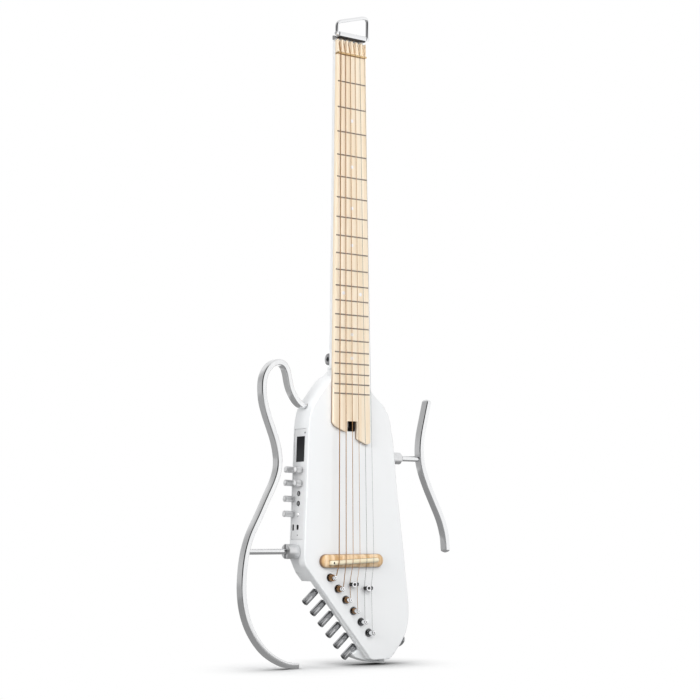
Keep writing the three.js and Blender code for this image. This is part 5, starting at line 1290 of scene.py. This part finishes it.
# Side frames, their collars, and the strap buttons.
collar = {"left": (9.4, 17), "right": (7.9, 22.5), "nose": 4.3, "cone": 3.6, "slot": (3, 3.4), "round": 1.2}
strapButton = {"radius": 7.8, "waist": 3.6, "base": 4.8, "length": 8.2, "rim": 2.4, "baseLength": 1.4,
               "recess": 3, "recessDepth": 1.4, "screw": 2.7,
               "screwDome": [(2.7, 0.3), (1.4, 0.85), (0, 0.95)], "slotHalf": (3, 0.4), "slotSpan": (0.3, 1.6)}


# A frame: the rounded rectangle of the bar's section along a smooth line, shrinking at both ends by the
# quarter round sqrt(1 - (1 - d / r)^2) of the distance d to the end.
def frameShape(side):
    line, reach = splineThrough(onFrame(side, side["lineShares"]), 60), side["endRound"]
    run = lengthsAlong(line)
    end, near = run[-1], reach * (1 - np.cos(np.linspace(frames["firstAngle"], math.pi / 2, 7)))
    between = np.linspace(reach + 1, end - reach - 1, int(end / frames["spacing"]))
    stops = np.concatenate([near, between, end - near[::-1]])
    path = np.stack([np.interp(stops, run, line[:, axis]) for axis in range(3)], 1)
    for turn in range(frames["smoothing"]):
        path[1:-1] = path[1:-1] / 2 + (path[:-2] + path[2:]) / 4
    toEnd = np.minimum(stops, end - stops)
    scale = np.sqrt(1 - (1 - np.minimum(toEnd / reach, 1)) ** 2)
    depth, width = frames["section"]
    return swept(path, softened(rectangle(width, depth), frames["corner"], 6), scale)


def addFrame(name, side, rodNames):
    rods = [rod(*rodEnds[rodName]) for rodName in rodNames]
    addPiece(name, frameShape(side), satinSilver, body=name, crease=45, tools=plus(satinSilver, *rods))


# A collar's ring: a bore for the frame's rod, a rounded edge at the body and the given outer end.
def collarRing(inside, radius, outerEnd, place, out):
    bore = inside["radius"] + running
    profile = [[(bore, 0)], nearRound(radius, 0, collar["round"]), outerEnd, [(bore, outerEnd[-1][1])]]
    return turned(np.vstack(profile), place, out, 64, loop=True)


def addCollars():
    (radius, length), (wide, deep), z = collar["left"], collar["slot"], strutPoint[2]
    base = leftWallX - gap - radius * math.tan(wallAngle)
    ring = collarRing(strut, radius, farRound(radius, length, collar["round"]), (base, midY, z), -treble)
    slot = block((base - length - past, midY - wide / 2, z - radius - past),
                 (base - length + deep, midY + wide / 2, z + radius + past))
    addPiece("left_collar", ring, collarSilver, body="left_collar", tools=less(collarSilver, slot))
    (radius, length), nose, z = collar["right"], collar["nose"], stemPoint[2]
    base = max(rightEdgeX(z + radius), rightEdgeX(z - radius), rightWallX) + gap
    coneStart = length - collar["cone"]
    cone = [(radius, coneStart - 0.4), (radius - 0.3, coneStart), (nose + 0.5, length - 0.7), (nose, length)]
    ring = collarRing(stem, radius, cone, (base, midY, z), treble)
    addPiece("right_collar", ring, collarSilver, body="right_collar")


# A strap button: a flared waist between base and disc, and the head of its screw in the disc.
def addStrapButton(number, seat, out):
    radius, waist, base, length = (strapButton[name] for name in ("radius", "waist", "base", "length"))
    rim, baseLength, recess, screw = (strapButton[name] for name in ("rim", "baseLength", "recess", "screw"))
    start, floor = np.asarray(seat) + out * gap, length - strapButton["recessDepth"]
    flare = splineThrough([(base, baseLength), (waist + 0.3, baseLength * 2), (waist, length / 2),
                           (waist + 1.2, length - rim * 1.6), (radius, length - rim)], 6)
    profile = np.vstack([
        [(0, 0), (base - bevel, 0), (base, bevel)], flare,
        [(radius, length - rim * 0.45), (radius - 0.35, length - rim * 0.15), (radius - 1.0, length),
         (recess + bevel, length), (recess, length - bevel), (recess, floor), (0, floor)]])
    addPiece(f"strap_button_{number}", turned(profile, start, out, 56), shadedGreyChrome)
    head = turned([(0, -0.2), (screw, -0.2), *strapButton["screwDome"]], start + out * floor, out, 36)
    side = unit(np.cross(out, back))
    (reach, half), (low, high) = strapButton["slotHalf"], strapButton["slotSpan"]
    slots = [moved(block((-reach, -half, low), (reach, half, high)), axes, start + out * floor)
             for axes in ([side, back, out], [back, side, out])]
    # the screw's slots get black walls, painted shade in them
    addPiece(f"strap_screw_{number}", head, steel, tools=less(black, *slots))


addFrame("left_frame", leftFrame, ["peg", "strut"])
addFrame("right_frame", rightFrame, ["stem"])
addCollars()
addStrapButton(1, (-heel["halfWidth"], tongueBackY + strap["heelY"], -strap["heelDrop"]), -treble)
addStrapButton(2, strapPoint - strapOut * strap["seat"], strapOut)
print("frames made")

# Inside: the truss rod with its socketed nut, and the three pieces that keep their plain shapes.
truss = {"radius": 2.6, "start": 12.3, "nut": (4, 9), "nutEdges": (0.5, 0.6), "nutDrop": 478,
         "socket": (2.1, 5)}


def addTrussRod():
    y, start, shaft = soundboardY + neck["rodY"], -truss["start"], truss["nutDrop"] - truss["start"]
    radius, (nutRadius, nutLength), (socket, depth) = truss["radius"], truss["nut"], truss["socket"]
    end = shaft + nutLength
    near, rear = truss["nutEdges"]
    profile = [(0, 0), (radius, 0), (radius, shaft), (nutRadius - near, shaft), (nutRadius, shaft + near),
               (nutRadius, end - rear), (nutRadius - rear, end), (0, end)]
    hexagon = turned([(socket, -past), (socket, depth)], (0, y, start - end), up, 6)
    # the nut's hex socket gets black walls, painted shade in it
    addPiece("truss_rod", turned(profile, (0, y, start), -up, 40), steel, tools=less(black, hexagon))


addTrussRod()
for name, finish in (("circuit_board", circuitGreen), ("battery", cellBlue), ("pickup", black)):
    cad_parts[name].data.materials.clear()
    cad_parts[name].data.materials.append(finish[0])
print("inner pieces made")

# Stage: a white floor that shows the shadows round the two feet, with a painted occlusion shade deepening
# them, white all round for what the camera sees, and for the metal a white studio that is darker at the left,
# overhead, near the front left and under the object. A mask is given by where it starts, where it ends and how
# much it darkens.
stage = {"floorSize": 14, "feet": [(-0.078, 0.024), (0.045, 0.03)], "shadowReach": (0.02, 0.14),
         "shadowed": 0.95, "closeReach": 0.075, "closePower": 1.1, "bounce": 0.4, "ambient": 0.45,
         "ambientTint": (0.98, 0.99, 1.0),
         "above": (0.14, 0.32, 0.06), "aboveLeft": (0.25, 0.5, 0.12), "left": (-0.45, -0.15, 0.45),
         "facing": (0.55, 0.8, 0.92), "facingWay": (-0.59, -0.8, 0.1), "leftFloor": (-0.5, 0, 0.6),
         "darkFloor": [((-0.1, 0.15), 0.5, 0.7, 0.3), ((-0.5, -0.6), 0.3, 0.7, 0.15)]}
lamps = {"key": ((-0.7, -2.7, 0.5), 2.4, 57), "fill": ((-2.5, -0.65, 0.25), 1.6, 34),
         "rear": ((-0.6, 2.4, 1.2), 2.0, 10), "top": ((0.0, 0.1, 2.2), 1.0, 9)}
lampTarget = Vector((0, 0, -0.45))


# One shader for what the camera sees itself, one for what is seen by reflection, and a plain one that lights.
def byRay(build, plain, mirrored, seen):
    camera, through, glossy = (build.node("ShaderNodeLightPath", output=f"Is {kind} Ray")
                               for kind in ("Camera", "Transmission", "Glossy"))
    return build.mix(camera.orMore(through), build.mix(glossy, plain, mirrored), seen)


def addFloor():
    size, z = stage["floorSize"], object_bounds()[0].z
    mesh = bpy.data.meshes.new("floor")
    mesh.from_pydata([(x, y, z) for x, y in rectangle(size, size)], [], [(0, 1, 2, 3)])
    floor = addObject("floor", mesh)
    paint = Finish("white floor")
    place = paint.place()

    def reach(at):
        return paint.compare("DISTANCE", place, (*at, z))

    firstFoot, secondFoot = (reach(at) for at in stage["feet"])
    shown = 1 - paint.step(firstFoot.orLess(secondFoot), *stage["shadowReach"])
    # painted shadow: near the feet the floor's colour darkens with occlusion, on top of the lamps' shadows
    close = paint.node("ShaderNodeAmbientOcclusion", {"samples": 8}, {"Distance": stage["closeReach"]}, "AO")
    tone = paint.blend(close ** stage["closePower"], (0, 0, 0), [stage["shadowed"]] * 3)
    shaded = paint.node("ShaderNodeBsdfDiffuse", None, {"Color": tone})
    seen = paint.mix(shown, paint.light("Emission", 1.0), shaded)
    fromLeft, toRight, share = stage["leftFloor"]
    level = 1 - share * (1 - paint.step(paint.axis(place, 0), fromLeft, toRight))
    for at, dark, bright, grey in stage["darkFloor"]:
        level = level.orLess(grey + (1 - grey) * paint.step(reach(at), dark, bright))
    plain = paint.node("ShaderNodeBsdfDiffuse", None, {"Color": (*[stage["bounce"]] * 3, 1)})
    surface = byRay(paint, plain, paint.light("Emission", level), seen)
    paint.node("ShaderNodeOutputMaterial", None, {"Surface": surface})
    mesh.materials.append(paint.owner)


def addWorld():
    world = bpy.data.worlds.new("studio")
    bpy.context.scene.world = world
    sky = Finish("studio", world=world)
    toward = sky.place("Generated")
    right, height = (sky.axis(toward, number) for number in (0, 2))
    turn = sky.compare("DOT_PRODUCT", toward, stage["facingWay"])
    above, aboveLeft, left, facing = (
        sky.step(value, *stage[name][:2])
        for name, value in (("above", height), ("aboveLeft", right), ("left", right), ("facing", turn)))
    overhead = above * (stage["above"][2] + stage["aboveLeft"][2] * (1 - aboveLeft))
    level = (1 - overhead) * (1 - stage["left"][2] * (1 - left)) * (1 - stage["facing"][2] * facing)
    plain = sky.light("Background", stage["ambient"], stage["ambientTint"])
    surface = byRay(sky, plain, sky.light("Background", level), sky.light("Background", 1.0))
    sky.node("ShaderNodeOutputWorld", None, {"Surface": surface})


def addLamp(name, place, size, power):
    lamp = addObject(name, bpy.data.lights.new(name, "AREA"))
    lamp.data.shape = "DISK"
    lamp.data.size = size
    lamp.data.energy = power
    lamp.visible_glossy = False         # what metal mirrors is the world and the floor
    lamp.location = place
    lamp.rotation_euler = (lampTarget - lamp.location).to_track_quat("-Z", "Y").to_euler()


addFloor()
addWorld()
for name, settings in lamps.items():
    addLamp(name, *settings)
bpy.context.scene.view_settings.view_transform = "Standard"
print("stage made")
